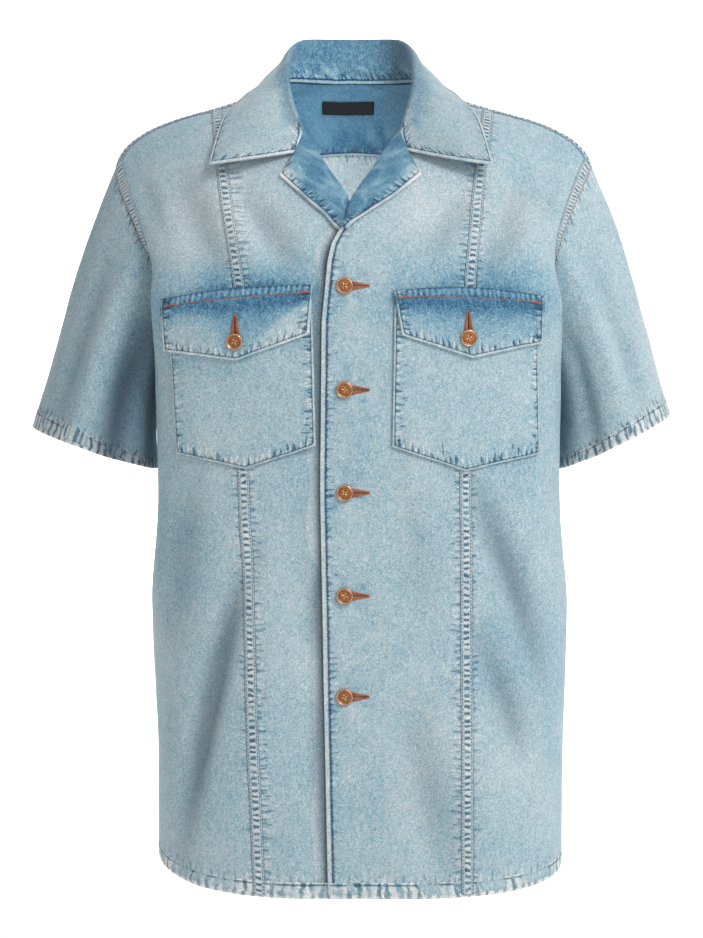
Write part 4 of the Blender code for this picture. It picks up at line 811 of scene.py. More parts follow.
def wovenSatin():
    # black woven satin tape: fine ribs across it, 0.5 mm apart, that catch a soft light
    material, tree, shader = newMaterial("wovenSatin", {"Roughness": 0.5, "Specular IOR Level": 0.25})
    weave = addNode(tree, "UVMap", {"uv_map": "weave"}), "UV"
    ribs = addNode(tree, "TexWave", {"bands_direction": "Y", "Scale": 0.314 / 0.0005, "Distortion": 0.6,
                                     "Vector": weave}), "Fac"
    ramp = addNode(tree, "ValToRGB", {"Fac": ribs})
    setStops(ramp, ((0.0, "#08080B"), (1.0, "#15151A")))
    bump = addNode(tree, "Bump", {"Strength": 0.4, "Distance": 0.0002, "Height": ribs})
    connect(tree, shader, {"Base Color": (ramp, "Color"), "Normal": (bump, 0)})
    return material


labelSatin = wovenSatin()


# Wear. Washes: where, as x and z, half its breadth and height, and how much paler (above 0) or bluer.
washes = (
    ("front", -0.107, -0.192, 0.072, 0.030, -0.62), ("front", -0.060, -0.190, 0.030, 0.030, -0.20),
    ("front", 0.107, -0.192, 0.080, 0.030, -0.44), ("front", 0.150, -0.170, 0.030, 0.030, -0.14),
    ("front", 0.000, -0.200, 0.026, 0.060, 0.02), ("front", 0.110, -0.290, 0.050, 0.040, 0.02),
    ("front", -0.115, -0.300, 0.050, 0.050, 0.05), ("front", 0.060, -0.110, 0.045, 0.030, 0.16),
    ("front", 0.135, -0.115, 0.045, 0.040, 0.30), ("front", -0.115, -0.115, 0.070, 0.050, 0.34),
    ("front", -0.135, -0.640, 0.045, 0.110, -0.04), ("front", -0.160, -0.430, 0.035, 0.090, -0.06),
    ("front", -0.060, -0.560, 0.035, 0.120, 0.06), ("front", 0.135, -0.640, 0.050, 0.080, 0.08),
    ("front", 0.050, -0.470, 0.035, 0.080, 0.02), ("front", 0.090, -0.420, 0.080, 0.050, -0.12),
    ("front", 0.125, -0.530, 0.050, 0.040, -0.20), ("front", 0.050, -0.660, 0.030, 0.080, 0.10),
    ("front", 0.175, -0.330, 0.030, 0.080, -0.08),
    ("back", -0.100, -0.200, 0.070, 0.060, 0.14), ("back", 0.090, -0.180, 0.070, 0.060, 0.16),
    ("back", 0.000, -0.420, 0.120, 0.120, 0.05), ("back", -0.120, -0.520, 0.050, 0.110, -0.14),
    ("back", 0.130, -0.420, 0.045, 0.120, -0.12), ("back", 0.060, -0.640, 0.080, 0.060, -0.08),
)


def washTone(point):
    x, y, z = point[..., 0], point[..., 1], point[..., 2]
    tone = 0.10 * noise(x / 0.060, y / 0.060, z / 0.085, 31)
    tone = tone + 0.07 * noise(x / 0.022, y / 0.022, z / 0.035, 32)
    for face, atX, atZ, wide, high, amount in washes:
        here = amount * np.exp(-(((x - atX) / wide) ** 2) - ((z - atZ) / high) ** 2)
        tone = tone + np.where((y < 0) == (face == "front"), here, 0.0)
    return tone


def pucker(run, away, seed, period, reach):
    # what a shrunken seam draws across itself: -1 in a hollow, 1 on a lump, dying out away from it
    lumps = 1.5 * noise(run / period, away / (2.4 * period), seed * 3.7, seed)
    lumps = lumps + 0.8 * noise(run / (0.5 * period), away / period, seed * 1.3, seed + 50)
    return np.tanh(1.8 * lumps) * np.exp(-np.maximum(away, 0) / reach)


def ladder(run, away, seed, period, slant):
    # the uneven rungs across a sewn-down fold of cloth, from -1 to 1
    phase = run / period + slant * away / period + 0.55 * noise(run / 0.014, 0.5, seed, seed)
    size = 0.75 + 0.55 * noise(run / 0.016, away / 0.008, seed, seed + 9)
    return np.tanh(1.4 * np.sin(2 * np.pi * phase)) * np.clip(size, 0.15, 1.2)


def edgeWear(run, away, seed, look):
    # broad relief along a stitched edge: a thread groove and lumps that die out
    lumps = pucker(run, away, seed, look["period"], look["reach"])
    groove = hump(away - look["stitchAt"], 0.0007)
    relief = look["lump"] * lumps * smoothStep(0.0008, 0.0032, away) - 0.00024 * groove
    return relief, look["lumpTone"] * lumps


def gridLine(grid, index, axis):
    # the line of points at a fractional index of a grid
    low = int(min(max(index, 0), grid.shape[axis] - 2))
    share = index - low
    return np.take(grid, low, axis) * (1 - share) + np.take(grid, low + 1, axis) * share


# Sewing.
sewing = {"pitch": 0.0031, "length": 0.0027, "wide": 0.0009, "high": 0.0005, "lift": 0.00005}
threads = {}  # for each mesh of thread: starts, ends, outward normals, widths and heights


def threadBars(name, starts, ends, normals, wide, high):
    ones = np.ones(len(starts))
    threads.setdefault(name, []).append((starts, ends, normals, wide * ones, high * ones))


def atRun(place, run, values):
    # the point or direction at each place along a run
    return np.stack([np.interp(place, run, values[:, k]) for k in range(3)], -1)


def sew(name, points, normals):
    # a row of stitches along a line of points
    run = runOf(points)
    count = int(run[-1] / sewing["pitch"])
    if count < 1:
        return
    centre = (np.arange(count) + 0.5) * run[-1] / count
    half = sewing["length"] / 2
    normal = unit(atRun(centre, run, normals))
    lift = normal * sewing["lift"]
    starts, ends = atRun(centre - half, run, points) + lift, atRun(centre + half, run, points) + lift
    threadBars(name, starts, ends, normal, sewing["wide"], sewing["high"])


def sewGrid(name, grid, normals, index, axis, first=0, last=None):
    sew(name, gridLine(grid, index, axis)[first:last], gridLine(normals, index, axis)[first:last])


def buildThreads(name, material):
    # every bar of thread is a lozenge of four sides
    points, faces = [], []
    for starts, ends, normals, wide, high in threads[name]:
        along = unit(ends - starts)
        aside = unit(np.cross(along, normals)) * wide[:, None] / 2
        up = normals * high[:, None]
        first, second = starts + (ends - starts) * 0.22, starts + (ends - starts) * 0.78
        ring = [starts]
        for middle in (first, second):
            ring += [middle + aside, middle + up, middle - aside, middle - up * 0.5]
        ring.append(ends)
        base = sum(len(p) for p in points) + 10 * np.arange(len(starts))
        points.append(np.stack(ring, 1).reshape(-1, 3))
        for k in range(4):
            a, b = 1 + k, 1 + (k + 1) % 4
            faces += np.stack([base, base + b, base + a], 1).tolist()
            faces += np.stack([base + a, base + b, base + b + 4, base + a + 4], 1).tolist()
            faces += np.stack([base + a + 4, base + b + 4, base + 9], 1).tolist()
    mesh = bpy.data.meshes.new(name)
    mesh.from_pydata(np.concatenate(points).tolist(), [], faces)
    mesh.shade_smooth()
    mesh.materials.append(material)
    dress(addObject(name, mesh), [])


# Fronts and back.
frontPanels = {"pitch": 0.0026, "centreColumns": 56, "sideColumns": 40, "crowding": 1.35,
               "centreCut": (0.150, 0.790), "centreArea": 0.094, "sideCut": (0.150, 0.790), "sideArea": 0.108}
frontEdge = {"stitchAt": 0.0046, "lump": 0.00035, "lumpTone": 0.10, "period": 0.0095, "reach": 0.009}


def princessPlace(side, row):
    return acrossAt(side, row, lambda z: lineX(princessLine[side], z))


def bodyGrid(side, rows, across, front, back):
    point, normal = bodyAt(side, rows, across)
    return point - normal * np.asarray(front)[..., None], point - normal * np.asarray(back)[..., None]


def frontRows():
    last = rowOf["shoulder"]
    return evenRows(0.003 / sectionLong, last - gapAlong(last), frontPanels["pitch"])


def frontCentreGrid(side):
    rows = frontRows()
    edge, seam = edgePlace(side, rows), princessPlace(side, rows)
    end = seam - gapAcross(side, rows, seam)
    count = frontPanels["centreColumns"]
    shares = (np.arange(count + 1) / count) ** frontPanels["crowding"]
    across = edge[:, None] + (end - edge)[:, None] * shares[None]
    row = np.broadcast_to(rows[:, None], across.shape)
    point = bodyPoint(side, row, across)
    sink = lapSink(side, row, point)
    down, away = gridRuns(point)
    run = np.broadcast_to(down[:, :1], away.shape)
    relief, tone = edgeWear(run, away, 11, frontEdge)
    covered, shade = np.zeros(away.shape), np.zeros(away.shape)
    if side == right:  # the cloth dips in beside the left front's edge
        beside = lineX(edgeLine[left], point[..., 2]) - point[..., 0]
        dip = 0.0016 + 0.0006 * noise(point[..., 2] / 0.045, 0.0, 0.0, 19)
        relief = -dip * hump(np.maximum(beside - 0.001, 0), 0.018)
        # a painted shadow beside the left front's edge: grey shade and a bluer tone
        reach = 0.0070 + 0.0025 * noise(point[..., 2] / 0.060, 0.0, 0.0, 20)
        near = hump(np.maximum(beside - 0.001, 0), reach)
        tone, shade = -0.16 * near, 0.80 * near
        covered = covered + 1
    pull, creaseShading = buttonPull(side, point)
    relief, tone = relief + pull, tone + creaseShading + washTone(point)
    toStrip = np.maximum(away[:, -1:] - away - make["fellWidth"], 0)
    nearEdge = (away < toStrip) & (covered == 0)
    fields = {
        "tone": tone,
        "sides": seamField(run + 3.0 * nearEdge, np.where(nearEdge, pastStitches(away, frontEdge), toStrip),
                           np.where(nearEdge, byButtons(point), 0.65)),
        "ends": hemField(point, rows), "edge": away + covered, "shade": shade + foldShade(side, row, across),
    }
    return bodyGrid(side, row, across, sink - relief, sink + make["cloth"]) + (fields,)


def pastStitches(away, look):
    return np.maximum(away - look["stitchAt"], 0)


def byButtons(point):
    near = [hump(point[..., 2] - z, 0.020) for z in button["heights"]]
    return 0.50 + 0.50 * np.max(near, axis=0)


def foldShade(side, row, across):
    # painted shade in the hollows of the folds
    depth = foldDepth(barePoint(side, row, across), facing(side, row, across, barePoint))
    return np.clip(-depth / 0.0085, 0, 1) ** 1.3 * 0.62


# Creases around a button: which way from it, how far, half the breadth as an angle, and the depth.
creases = ((0.62, 0.016, 0.20, -1.0), (1.55, 0.015, 0.28, -0.7), (2.35, 0.013, 0.25, 0.8),
           (-0.50, 0.017, 0.20, -0.8), (-1.25, 0.015, 0.26, 0.7), (-2.20, 0.014, 0.30, -0.6))


def buttonPull(side, point):
    # the short creases that each button draws out of the cloth around it
    relief, tone = np.zeros(point.shape[:-1]), np.zeros(point.shape[:-1])
    if side == right:
        return relief, tone
    for number, z in enumerate(button["heights"]):
        overX, overZ = point[..., 0] - button["x"], point[..., 2] - z
        long, turn = np.hypot(overX, overZ), np.arctan2(overZ, overX)
        for aim, far, wide, deep in creases:
            aim = aim + 0.22 * math.sin(2.3 * number + 5 * aim)
            shape = deep * np.exp(-(((turn - aim) / wide) ** 2) - ((long - far) / 0.0075) ** 2)
            # the creases' hollows are painted darker and their ridges paler, as painted shade and light
            relief, tone = relief + 0.0009 * shape, tone + 0.20 * shape
    return relief, tone


def hemField(point, rows):
    # the hem's seam, and how far up from it the cloth is
    fromHem = np.minimum(rows, lastRow - rows)[:, None] * sectionLong
    up = fromHem - make["bodyHem"]
    return seamField(gridRuns(point)[1], np.maximum(up, 0), 0.55 * (up > -0.0005))


def frontSideGrid(side):
    rows = frontRows()
    seam = princessPlace(side, rows)
    start = seam + gapAcross(side, rows, seam)
    end = 1 - gapAcross(side, rows, np.ones(rows.shape))
    count = frontPanels["sideColumns"]
    across = start[:, None] + (end - start)[:, None] * (np.arange(count + 1) / count)[None]
    row = np.broadcast_to(rows[:, None], across.shape)
    point = bodyPoint(side, row, across)
    down, away = gridRuns(point)
    run = np.broadcast_to(down[:, :1], away.shape)
    toArmhole = away[:, -1:] - away
    onArmhole = rows[:, None] > rowOf["frontUnderarm"]
    near = pucker(run, toArmhole, 25 + side, 0.0110, 0.010) * onArmhole
    fields = {
        "tone": washTone(point),
        "sides": seamField(run + 3.0 * (away < toArmhole), np.minimum(away, toArmhole),
                           np.where(away < toArmhole, 0.65, 0.8 * onArmhole)),
        "ends": hemField(point, rows), "shade": foldShade(side, row, across),
    }
    return bodyGrid(side, row, across, -0.0004 * near, make["cloth"]) + (fields,)


def buildFronts():
    for side in (left, right):
        outer, inner, fields = frontCentreGrid(side)
        if side == left:  # stitched along its front edge, which is the grid's first column
            line, way = insetLine(outer[:, ::-1], unit(outer - inner)[:, ::-1], frontEdge["stitchAt"])
            sew("bodyStitches", line, way)
        panel = wall("frontCentre" + sideName[side], outer, inner, bothFaces, fields, bead=0.3)
        dress(panel, ["front_centre_" + nodeSide[side]])
        outer, inner, fields = frontSideGrid(side)
        panel = wall("frontSide" + sideName[side], outer, inner, bothFaces, fields, bead=0.1)
        dress(panel, ["front_side_" + nodeSide[side]])


backPanel = {"pitch": 0.0032, "columns": 62, "cut": (0.560, 0.700), "area": 0.345}
yokes = {"pitch": 0.0028, "columns": 64, "cut": (0.480, 0.200), "area": 0.054}


def yokeEnd(across):
    return rowOf["yoke"] + 0.14 - 0.70 * smoothStep(0.15, 1.0, across)


def halfColumns(count):
    end = 1 - float(gapAcross(left, float(rowOf["blade"]), 1.0))
    return end * (np.arange(count + 1) / count) ** 0.92


def backGrid():
    top = rowOf["yoke"]
    rows = evenRows(top, lastRow - 0.003 / sectionLong, backPanel["pitch"])
    half = halfColumns(backPanel["columns"])
    across = np.concatenate([-half[:0:-1], half])
    shift = yokeEnd(np.abs(across)) - top
    reach = rowOf["backUnderarm"] - top
    row = rows[:, None] + shift[None] * np.maximum(0.0, 1 - (rows[:, None] - top) / reach)
    row[0] += gapAlong(row[0], np.abs(across))
    across = np.broadcast_to(across[None], row.shape)
    outer, inner = bodyGrid(left, row, across, 0.0, make["cloth"])
    down, run = gridRuns(outer)
    fromHem = (lastRow - row) * sectionLong - make["bodyHem"]
    nearHem = fromHem < down
    toSide = np.minimum(run, run[:, -1:] - run)
    fields = {
        "tone": washTone(outer),
        "sides": seamField(down + 4.0 * (across < 0), toSide, 0.8 * (row < rowOf["backUnderarm"])),
        "ends": seamField(run + 5.0 * nearHem, np.maximum(np.where(nearHem, fromHem, down), 0), 1.0),
        "shade": foldShade(left, row, across),
    }
    return outer, inner, fields


def yokeHalf(side, depth):
    half = halfColumns(yokes["columns"])
    even = evenRows(rowOf["shoulder"], rowOf["yoke"], yokes["pitch"])
    end = yokeEnd(half)
    row = even[0] + (even[:, None] - even[0]) * (end[None] - even[0]) / (even[-1] - even[0])
    row[0] += gapAlong(row[0], half)
    row[-1] -= gapAlong(row[-1], half)
    across = np.broadcast_to(half[None], row.shape)
    return bodyGrid(side, row, across, depth, depth + make["cloth"])


def joinHalves(name, parts):
    # two halves of a wall joined where they meet, without the faces between them
    mesh = bmesh.new()
    for part in parts:
        mesh.from_mesh(part.data)
    bmesh.ops.remove_doubles(mesh, verts=mesh.verts, dist=2e-6)
    mesh.verts.index_update()
    seen = {}
    for face in mesh.faces:
        seen.setdefault(frozenset(v.index for v in face.verts), []).append(face)
    doubled = [face for faces in seen.values() if len(faces) > 1 for face in faces]
    bmesh.ops.delete(mesh, geom=doubled, context="FACES")
    data = parts[0].data.copy()
    mesh.to_mesh(data)
    mesh.free()
    for part in parts:
        bpy.data.objects.remove(part)
    return addObject(name, data)


def buildBack():
    outer, inner, fields = backGrid()
    panel = wall("backPanel", outer, inner, bothFaces, fields, bead=0.1)
    dress(panel, ["back_panel"])


def buildYoke(name, node, depth, materials):
    parts = []
    for side in (left, right):
        outer, inner = yokeHalf(side, depth)
        down, run = gridRuns(outer)
        low = down[-1:] - down
        fields = {
            "tone": washTone(outer),
            "sides": seamField(down + 2.0 * (side == left), run[:, -1:] - run, 0.8),
            "ends": seamField(run + 3.0 * (down < low) + 6.0 * (side == left), np.minimum(down, low), 0.8),
        }
        if depth:  # the inner layer shows through the neck, with its lower seam
            x, z = outer[..., 0], outer[..., 2]
            streak = np.tanh(2.2 * noise((x + 0.35 * z) / 0.007, (z - 0.2 * x) / 0.020, 0.0, 61))
            streak = streak * hump(np.abs(z + 0.020), 0.014)
            fields["tone"] = 0.5 * fields["tone"] - 0.16 + 0.16 * streak
            # a painted shadow on the inner yoke, darker towards the wearer's left
            fields["edge"], fields["shade"] = low, 0.45 * smoothStep(0.010, 0.055, x)
            index = len(inner) - 1 - 0.0022 / (down[-1] - down[-2]).mean()
            sewGrid("collarStitches", inner, unit(inner - outer), index, 0)
        parts.append(wall(name + sideName[side], outer, inner, materials, fields, bead=0.0))
    yoke = joinHalves(name, parts)
    dress(yoke, [node])


# Sewn-down seams and turned-up hems.
strips = {
    "pitch": 0.0022, "columns": 8, "stitchIn": 0.0015, "armholeWide": 0.0122, "armholeColumns": 6,
    "armholeRaise": 0.0006, "armholeShade": 0.06, "shoulderWide": 0.0110, "shoulderColumns": 9,
    "shoulderForward": 0.0090, "shoulderRaise": 0.0007, "backWide": 0.0070, "backRaise": 0.0005,
}


def stripAway(width, columns):
    # distances from a strip's first edge to its other one
    return width * np.linspace(0, 1, columns + 1)[None]


def bodyStrip(name, side, row, across, away, seed, raised, shade=0.0, cloth=seamDenim):
    # a strip of doubled cloth that lies on the body, with two rows of stitches
    row, across, away = np.broadcast_arrays(row, across, away)
    width, count = away[0, -1], away.shape[1]
    point, normal = bodyAt(side, row, across)
    run = np.broadcast_to(runOf(point)[:, :1], row.shape)
    toEdge = np.minimum(away, width - away)
    groove = hump(toEdge - strips["stitchIn"], 0.0006)
    plateau = 0.7 + 0.3 * smoothStep(0.0, 0.0010, toEdge)
    relief = raised * plateau + 0.00012 * noise(run / 0.006, away / 0.006, seed, seed) - 0.00026 * groove
    outer, inner = point + normal * relief[..., None], point - normal * 0.0002
    # shade is painted shade, which only the armhole strips carry
    fields = {"tone": washTone(point) * 0.7, "sides": seamField(run + seed, away, width),
              "shade": shade + 0 * run}
    dress(wall(name, outer, inner, (cloth,), fields, bead=0.2), [])
    for place in (strips["stitchIn"], width - strips["stitchIn"]):
        sewGrid("bodyStitches", outer, unit(outer - inner), place / width * (count - 1), 1)


def buildStrips():
    shoulder = rowOf["shoulder"]
    for side in (left, right):
        forward = rowsIn(strips["shoulderForward"], shoulder - 0.1)
        rows = evenRows(0.0010 / sectionLong, shoulder - forward, strips["pitch"], 0.45)
        seam = acrossAt(side, rows, lambda z: lineX(stripLine[side], z))
        away = stripAway(make["fellWidth"], strips["columns"])
        across = seam[:, None] - away / metresAcross(side, rows, seam)[:, None]
        bodyStrip("strip" + sideName[side], side, rows[:, None], across, away, 41 + side, make["fellRaise"])

        rows = evenRows(rowOf["frontUnderarm"], rowOf["backUnderarm"], strips["pitch"], 1.0)[:, None]
        away = stripAway(strips["armholeWide"], strips["armholeColumns"])
        across = 1 - (0.0004 + away) / metresAcross(side, rows, 1.0)
        bodyStrip("armholeStrip" + sideName[side], side, rows, across, away, 45 + side,
                  strips["armholeRaise"], strips["armholeShade"], armholeDenim)

        # the shoulder seam lies just in front of the ridge, so its lower edge shows from the front
        across = np.linspace(0.10, 0.962, 90)[:, None]
        away = stripAway(strips["shoulderWide"], strips["shoulderColumns"])
        down = away - strips["shoulderForward"]
        row = rowsIn(down, np.where(down < 0, shoulder - 0.1, shoulder + 0.1), across)
        bodyStrip("shoulderStrip" + sideName[side], side, shoulder + row, across, away, 49 + side,
                  strips["shoulderRaise"])

    half = np.linspace(0, 0.965, 110)
    across = np.concatenate([-half[:0:-1], half])[:, None]
    up = stripAway(strips["backWide"], 6)
    end = yokeEnd(np.abs(across))
    row = end - rowsIn(make["seamGap"] / 2 + up, end, np.abs(across))
    bodyStrip("backYokeStrip", left, row, across, up, 53, strips["backRaise"])


hems = {"pitch": 0.0018, "rows": 9, "rise": 0.00030, "proud": 0.00012, "stitchIn": 0.0016}


def hemWear(run, fromEdge, band, seed):
    # slanting lumps of a turned-up hem, a pale worn fold below and a thread groove above
    lumps = pucker(run + 0.6 * fromEdge, 0 * run, seed + 4, 0.0070, 1.0)
    groove = hump(fromEdge - (band - hems["stitchIn"]), 0.0010)
    relief = hems["proud"] + hems["rise"] * lumps * smoothStep(0, 0.003, fromEdge) - 0.00025 * groove
    tone = -1.0 * groove + 0.30 * hump(fromEdge, 0.0016) + 0.30 * (fromEdge > band - 0.0004)
    return relief, {"tone": tone + 0 * run, "sides": seamField(run + seed, fromEdge, 1.0)}


def buildHem(name, side, across, isBack):
    band = make["bodyHem"]
    fromEdge = np.linspace(0, band, hems["rows"])[:, None]
    row = fromEdge / sectionLong + 0 * across[None]
    if isBack:
        row = lastRow - row
    across = np.broadcast_to(across[None], row.shape)
    point, normal = bodyAt(side, row, across)
    _, run = gridRuns(point)
    relief, fields = hemWear(run, fromEdge, band, 71 + side + 5 * isBack)
    fields["tone"] = fields["tone"] + 0.5 * washTone(point)
    sink = lapSink(side, row, point)
    outer = point + normal * (relief - sink)[..., None]
    inner = point - normal * (sink + make["hemCloth"])[..., None]
    dress(wall(name, outer, inner, (hemDenim,), fields, bead=0.4), [])
    sewGrid("bodyStitches", outer, normal, (band - hems["stitchIn"]) / band * (hems["rows"] - 1), 0)


def buildHems():
    for side in (left, right):
        edge = float(edgePlace(side, 0.0))
        fine = np.linspace(edge, 1 - float(gapAcross(side, 0.0, 1.0)), 300)
        run = runOf(barePoint(side, 0.0, fine))
        across = np.interp(np.arange(0, run[-1], hems["pitch"]), run, fine)
        buildHem("hem" + sideName[side], side, across, False)
    end = 1 - float(gapAcross(left, lastRow, 1.0))
    fine = np.linspace(-end, end, 600)
    run = runOf(barePoint(left, lastRow, fine))
    across = np.interp(np.arange(0, run[-1], hems["pitch"] * 1.15), run, fine)
    buildHem("hemBack", left, across, True)


# Sleeves.
# Folds along a sleeve: side, place round it (0 at the shoulder, 0.25 at the front, 0.5 under the
# arm), start and end as shares of its length, half its breadth as a share round, and its depth.
sleeveFolds = (
    (right, 0.13, 0.05, 0.95, 0.032, -0.0050),
    (right, 0.20, 0.05, 1.00, 0.030, 0.0060),
    (right, 0.29, 0.10, 1.10, 0.040, -0.0130),
    (right, 0.38, 0.15, 1.00, 0.030, 0.0045),
    (right, 0.70, 0.15, 0.95, 0.040, -0.0075),
    (right, 0.84, 0.30, 1.00, 0.035, 0.0050),
    (left, 0.14, 0.05, 0.95, 0.030, -0.0040),
    (left, 0.21, 0.20, 1.00, 0.030, 0.0045),
    (left, 0.31, 0.10, 1.10, 0.036, -0.0085),
    (left, 0.66, 0.20, 1.00, 0.040, -0.0070),
    (left, 0.80, 0.10, 0.90, 0.035, -0.0050),
    (left, 0.90, 0.20, 1.00, 0.030, 0.0045),
)
sleeves = {
    # the hem's outer and inner ends as seen from the front, and its depth
    "ends": {right: (-0.3080, -0.3077, -0.1880, -0.3475, -0.066, 0.074),
             left: (0.3035, -0.2960, 0.1935, -0.3480, -0.066, 0.074)},
    "length": 0.25, "pitBulge": 0.034, "capBulge": 0.012, "hemFrontDrop": 0.004,
    "around": 156, "along": 90, "cuffAround": 300, "cuffRows": 10, "cut": (0.440, 0.260), "area": 0.074,
}


def armholeRing(side, count):
    # rows round the armhole with their turn, from the shoulder tip down the front and back up
    rings = []
    shoulder = rowOf["shoulder"]
    for first, last, firstTurn in ((shoulder, rowOf["frontUnderarm"], 0.0),
                                   (rowOf["backUnderarm"], shoulder, 0.5)):
        fine = np.linspace(first, last, 400)
        run = runOf(barePoint(side, fine, 1.0))
        shares = np.arange(count // 2) / (count // 2)
        rings.append((np.interp(shares * run[-1], run, fine), firstTurn + 0.5 * shares))
    rows = np.concatenate([rings[0][0], rings[1][0]])
    turns = np.concatenate([rings[0][1], rings[1][1]])
    return rows, turns


def sleeveDepth(side, turn, share):
    total = np.zeros(np.broadcast(turn, share).shape)
    for foldSide, place, start, end, width, depth in sleeveFolds:
        if foldSide != side:
            continue
        around = (turn - place + 0.5) % 1 - 0.5
        along = np.clip((share - start) / (end + 0.2 - start), 0, 1)
        total += depth * np.sin(np.pi * along) * hump(around, width)
    return total


def sleeveShape(side, around):
    # the sleeve's outer face for any turns and shares of its length
    outerX, outerZ, innerX, innerZ, frontY, backY = sleeves["ends"][side]
    centre = np.array([(outerX + innerX) / 2, (frontY + backY) / 2, (outerZ + innerZ) / 2])
    halfWidth = np.array([(outerX - innerX) / 2, 0, (outerZ - innerZ) / 2])
    halfDepth = np.array([0, (frontY - backY) / 2, 0])
    outward = np.array([side, 0.0, 0.0])
    rows, turns = armholeRing(side, around)
    start = barePoint(side, rows, np.ones(rows.shape))
    normal = facing(side, rows, np.ones(rows.shape), barePoint)
    angle = 2 * np.pi * turns[:, None]
    hem = centre + halfWidth * np.cos(angle) + halfDepth * np.sin(angle)
    hem[:, 2] -= sleeves["hemFrontDrop"] * np.sin(angle[:, 0])
    low = 0.5 - 0.5 * np.cos(angle)
    run = (hem - start) / 3
    first = start + run + outward * (sleeves["pitBulge"] * low**1.5 + sleeves["capBulge"] * (1 - low))
    last = hem - run + outward * sleeves["pitBulge"] * 0.3 * low**2
    return turns, start, first, last, hem, normal


def sleeveGrid(side, shares, around):
    turns, start, first, last, hem, bodyNormal = sleeveShape(side, around)
    share = shares[:, None, None]
    rest = 1 - share
    bare = start * rest**3 + first * 3 * share * rest**2 + last * 3 * share**2 * rest + hem * share**3
    along = -3 * start * rest**2 + first * (3 * rest**2 - 6 * share * rest)
    along = along + last * (6 * share * rest - 3 * share**2) + hem * 3 * share**2
    normal = unit(side * np.cross(np.roll(bare, -1, 1) - np.roll(bare, 1, 1), along))
    x, y, z = bare[..., 0], bare[..., 1], bare[..., 2]
    uneven = 0.0007 * noise(x / 0.035, y / 0.035, z / 0.06, 5 + side)
    uneven = uneven + 0.00025 * noise(x / 0.014, y / 0.014, z / 0.02, 8)
    depth = sleeveDepth(side, turns[None], shares[:, None]) + uneven * smoothStep(0, 0.1, shares)[:, None]
    return bare + normal * depth[..., None], turns, along, bodyNormal


def sleeveWall(side, shares, around, front, back):
    # outer and inner faces; at the armhole they stand on the body's own normals
    grid, turns, along, bodyNormal = sleeveGrid(side, shares, around)
    normal = unit(side * np.cross(np.roll(grid, -1, 1) - np.roll(grid, 1, 1), along))
    if shares[0] == 0:
        blend = smoothStep(0.6, 0.9, (normal[0] * bodyNormal).sum(-1))[:, None]
        normal[0] = unit(normal[0] * (1 - blend) + bodyNormal * blend)
        grid[0] += unit(along[0]) * make["seamGap"]
    return grid - normal * np.asarray(front)[..., None], grid - normal * np.asarray(back)[..., None], turns


def sleeveFields(side, turns, shares, run):
    # worn pale along the outer fold, bluer under the arm, puckered by the armhole seam and the hem
    turn = turns[None]
    pale = 0.12 * np.cos(2 * np.pi * turn) + 0.10 * noise(turn * 9, shares[:, None] * 3, side, 81)
    # painted shade and light: ridges of the folds paler and their hollows bluer, and the right sleeve bluer
    # all over as painted shade
    pale = pale + 6.0 * sleeveDepth(side, turn, shares[:, None]) + 0.05 * (side - 1)
    fromTop = shares[:, None] * sleeves["length"] + 0 * run
    fromHem = sleeves["length"] - make["sleeveHem"] - fromTop
    nearHem = fromHem < fromTop
    ends = seamField(run + 2.0 * nearHem, np.maximum(np.minimum(fromTop, fromHem), 0), 1.0)
    return {"tone": pale, "ends": ends, "shade": sleeveShade(side, turn, shares[:, None])}


def sleeveShade(side, turn, share):
    # painted shade: in the hollows of the folds, over the whole right sleeve, and on the front towards the
    # underarm, most on the right sleeve
    shade = np.clip(-sleeveDepth(side, turn, share) / 0.0130, 0, 1) * 0.55 + 0.20 * (side == right)
    strong = 0.42 if side == right else 0.12
    return shade + strong * smoothStep(0.26, 0.33, turn) * smoothStep(0.50, 0.42, turn)


def buildSleeve(side):
    shares = np.linspace(0, 1 - 0.003 / sleeves["length"], sleeves["along"])
    outer, inner, turns = sleeveWall(side, shares, sleeves["around"], 0.0, make["cloth"])
    _, run = gridRuns(outer)
    fields = sleeveFields(side, turns, shares, run)
    sleeve = wall("sleeve" + sideName[side], outer, inner, bothFaces, fields, ring=True, bead=0.1)
    dress(sleeve, ["sleeve_" + nodeSide[side]])

    band, around, count = make["sleeveHem"], sleeves["cuffAround"], sleeves["cuffRows"]
    shares = 1 - np.linspace(band, 0, count + 1) / sleeves["length"]
    plain, _, turns = sleeveWall(side, shares, around, 0.0, 0.0)
    _, run = gridRuns(plain)
    relief, fields = hemWear(run, (1 - shares[:, None]) * sleeves["length"], band, 91 + side)
    fields["shade"] = sleeveShade(side, turns[None], shares[:, None])
    outer, inner, _ = sleeveWall(side, shares, around, -relief, make["hemCloth"])
    cuff = wall("cuff" + sideName[side], outer, inner, (cuffDenim,), fields, ring=True, bead=0.4)
    dress(cuff, [])
    ringOut, ringIn = np.concatenate([outer, outer[:, :1]], 1), np.concatenate([inner, inner[:, :1]], 1)
    sewGrid("bodyStitches", ringOut, unit(ringOut - ringIn), hems["stitchIn"] / band * count, 0)


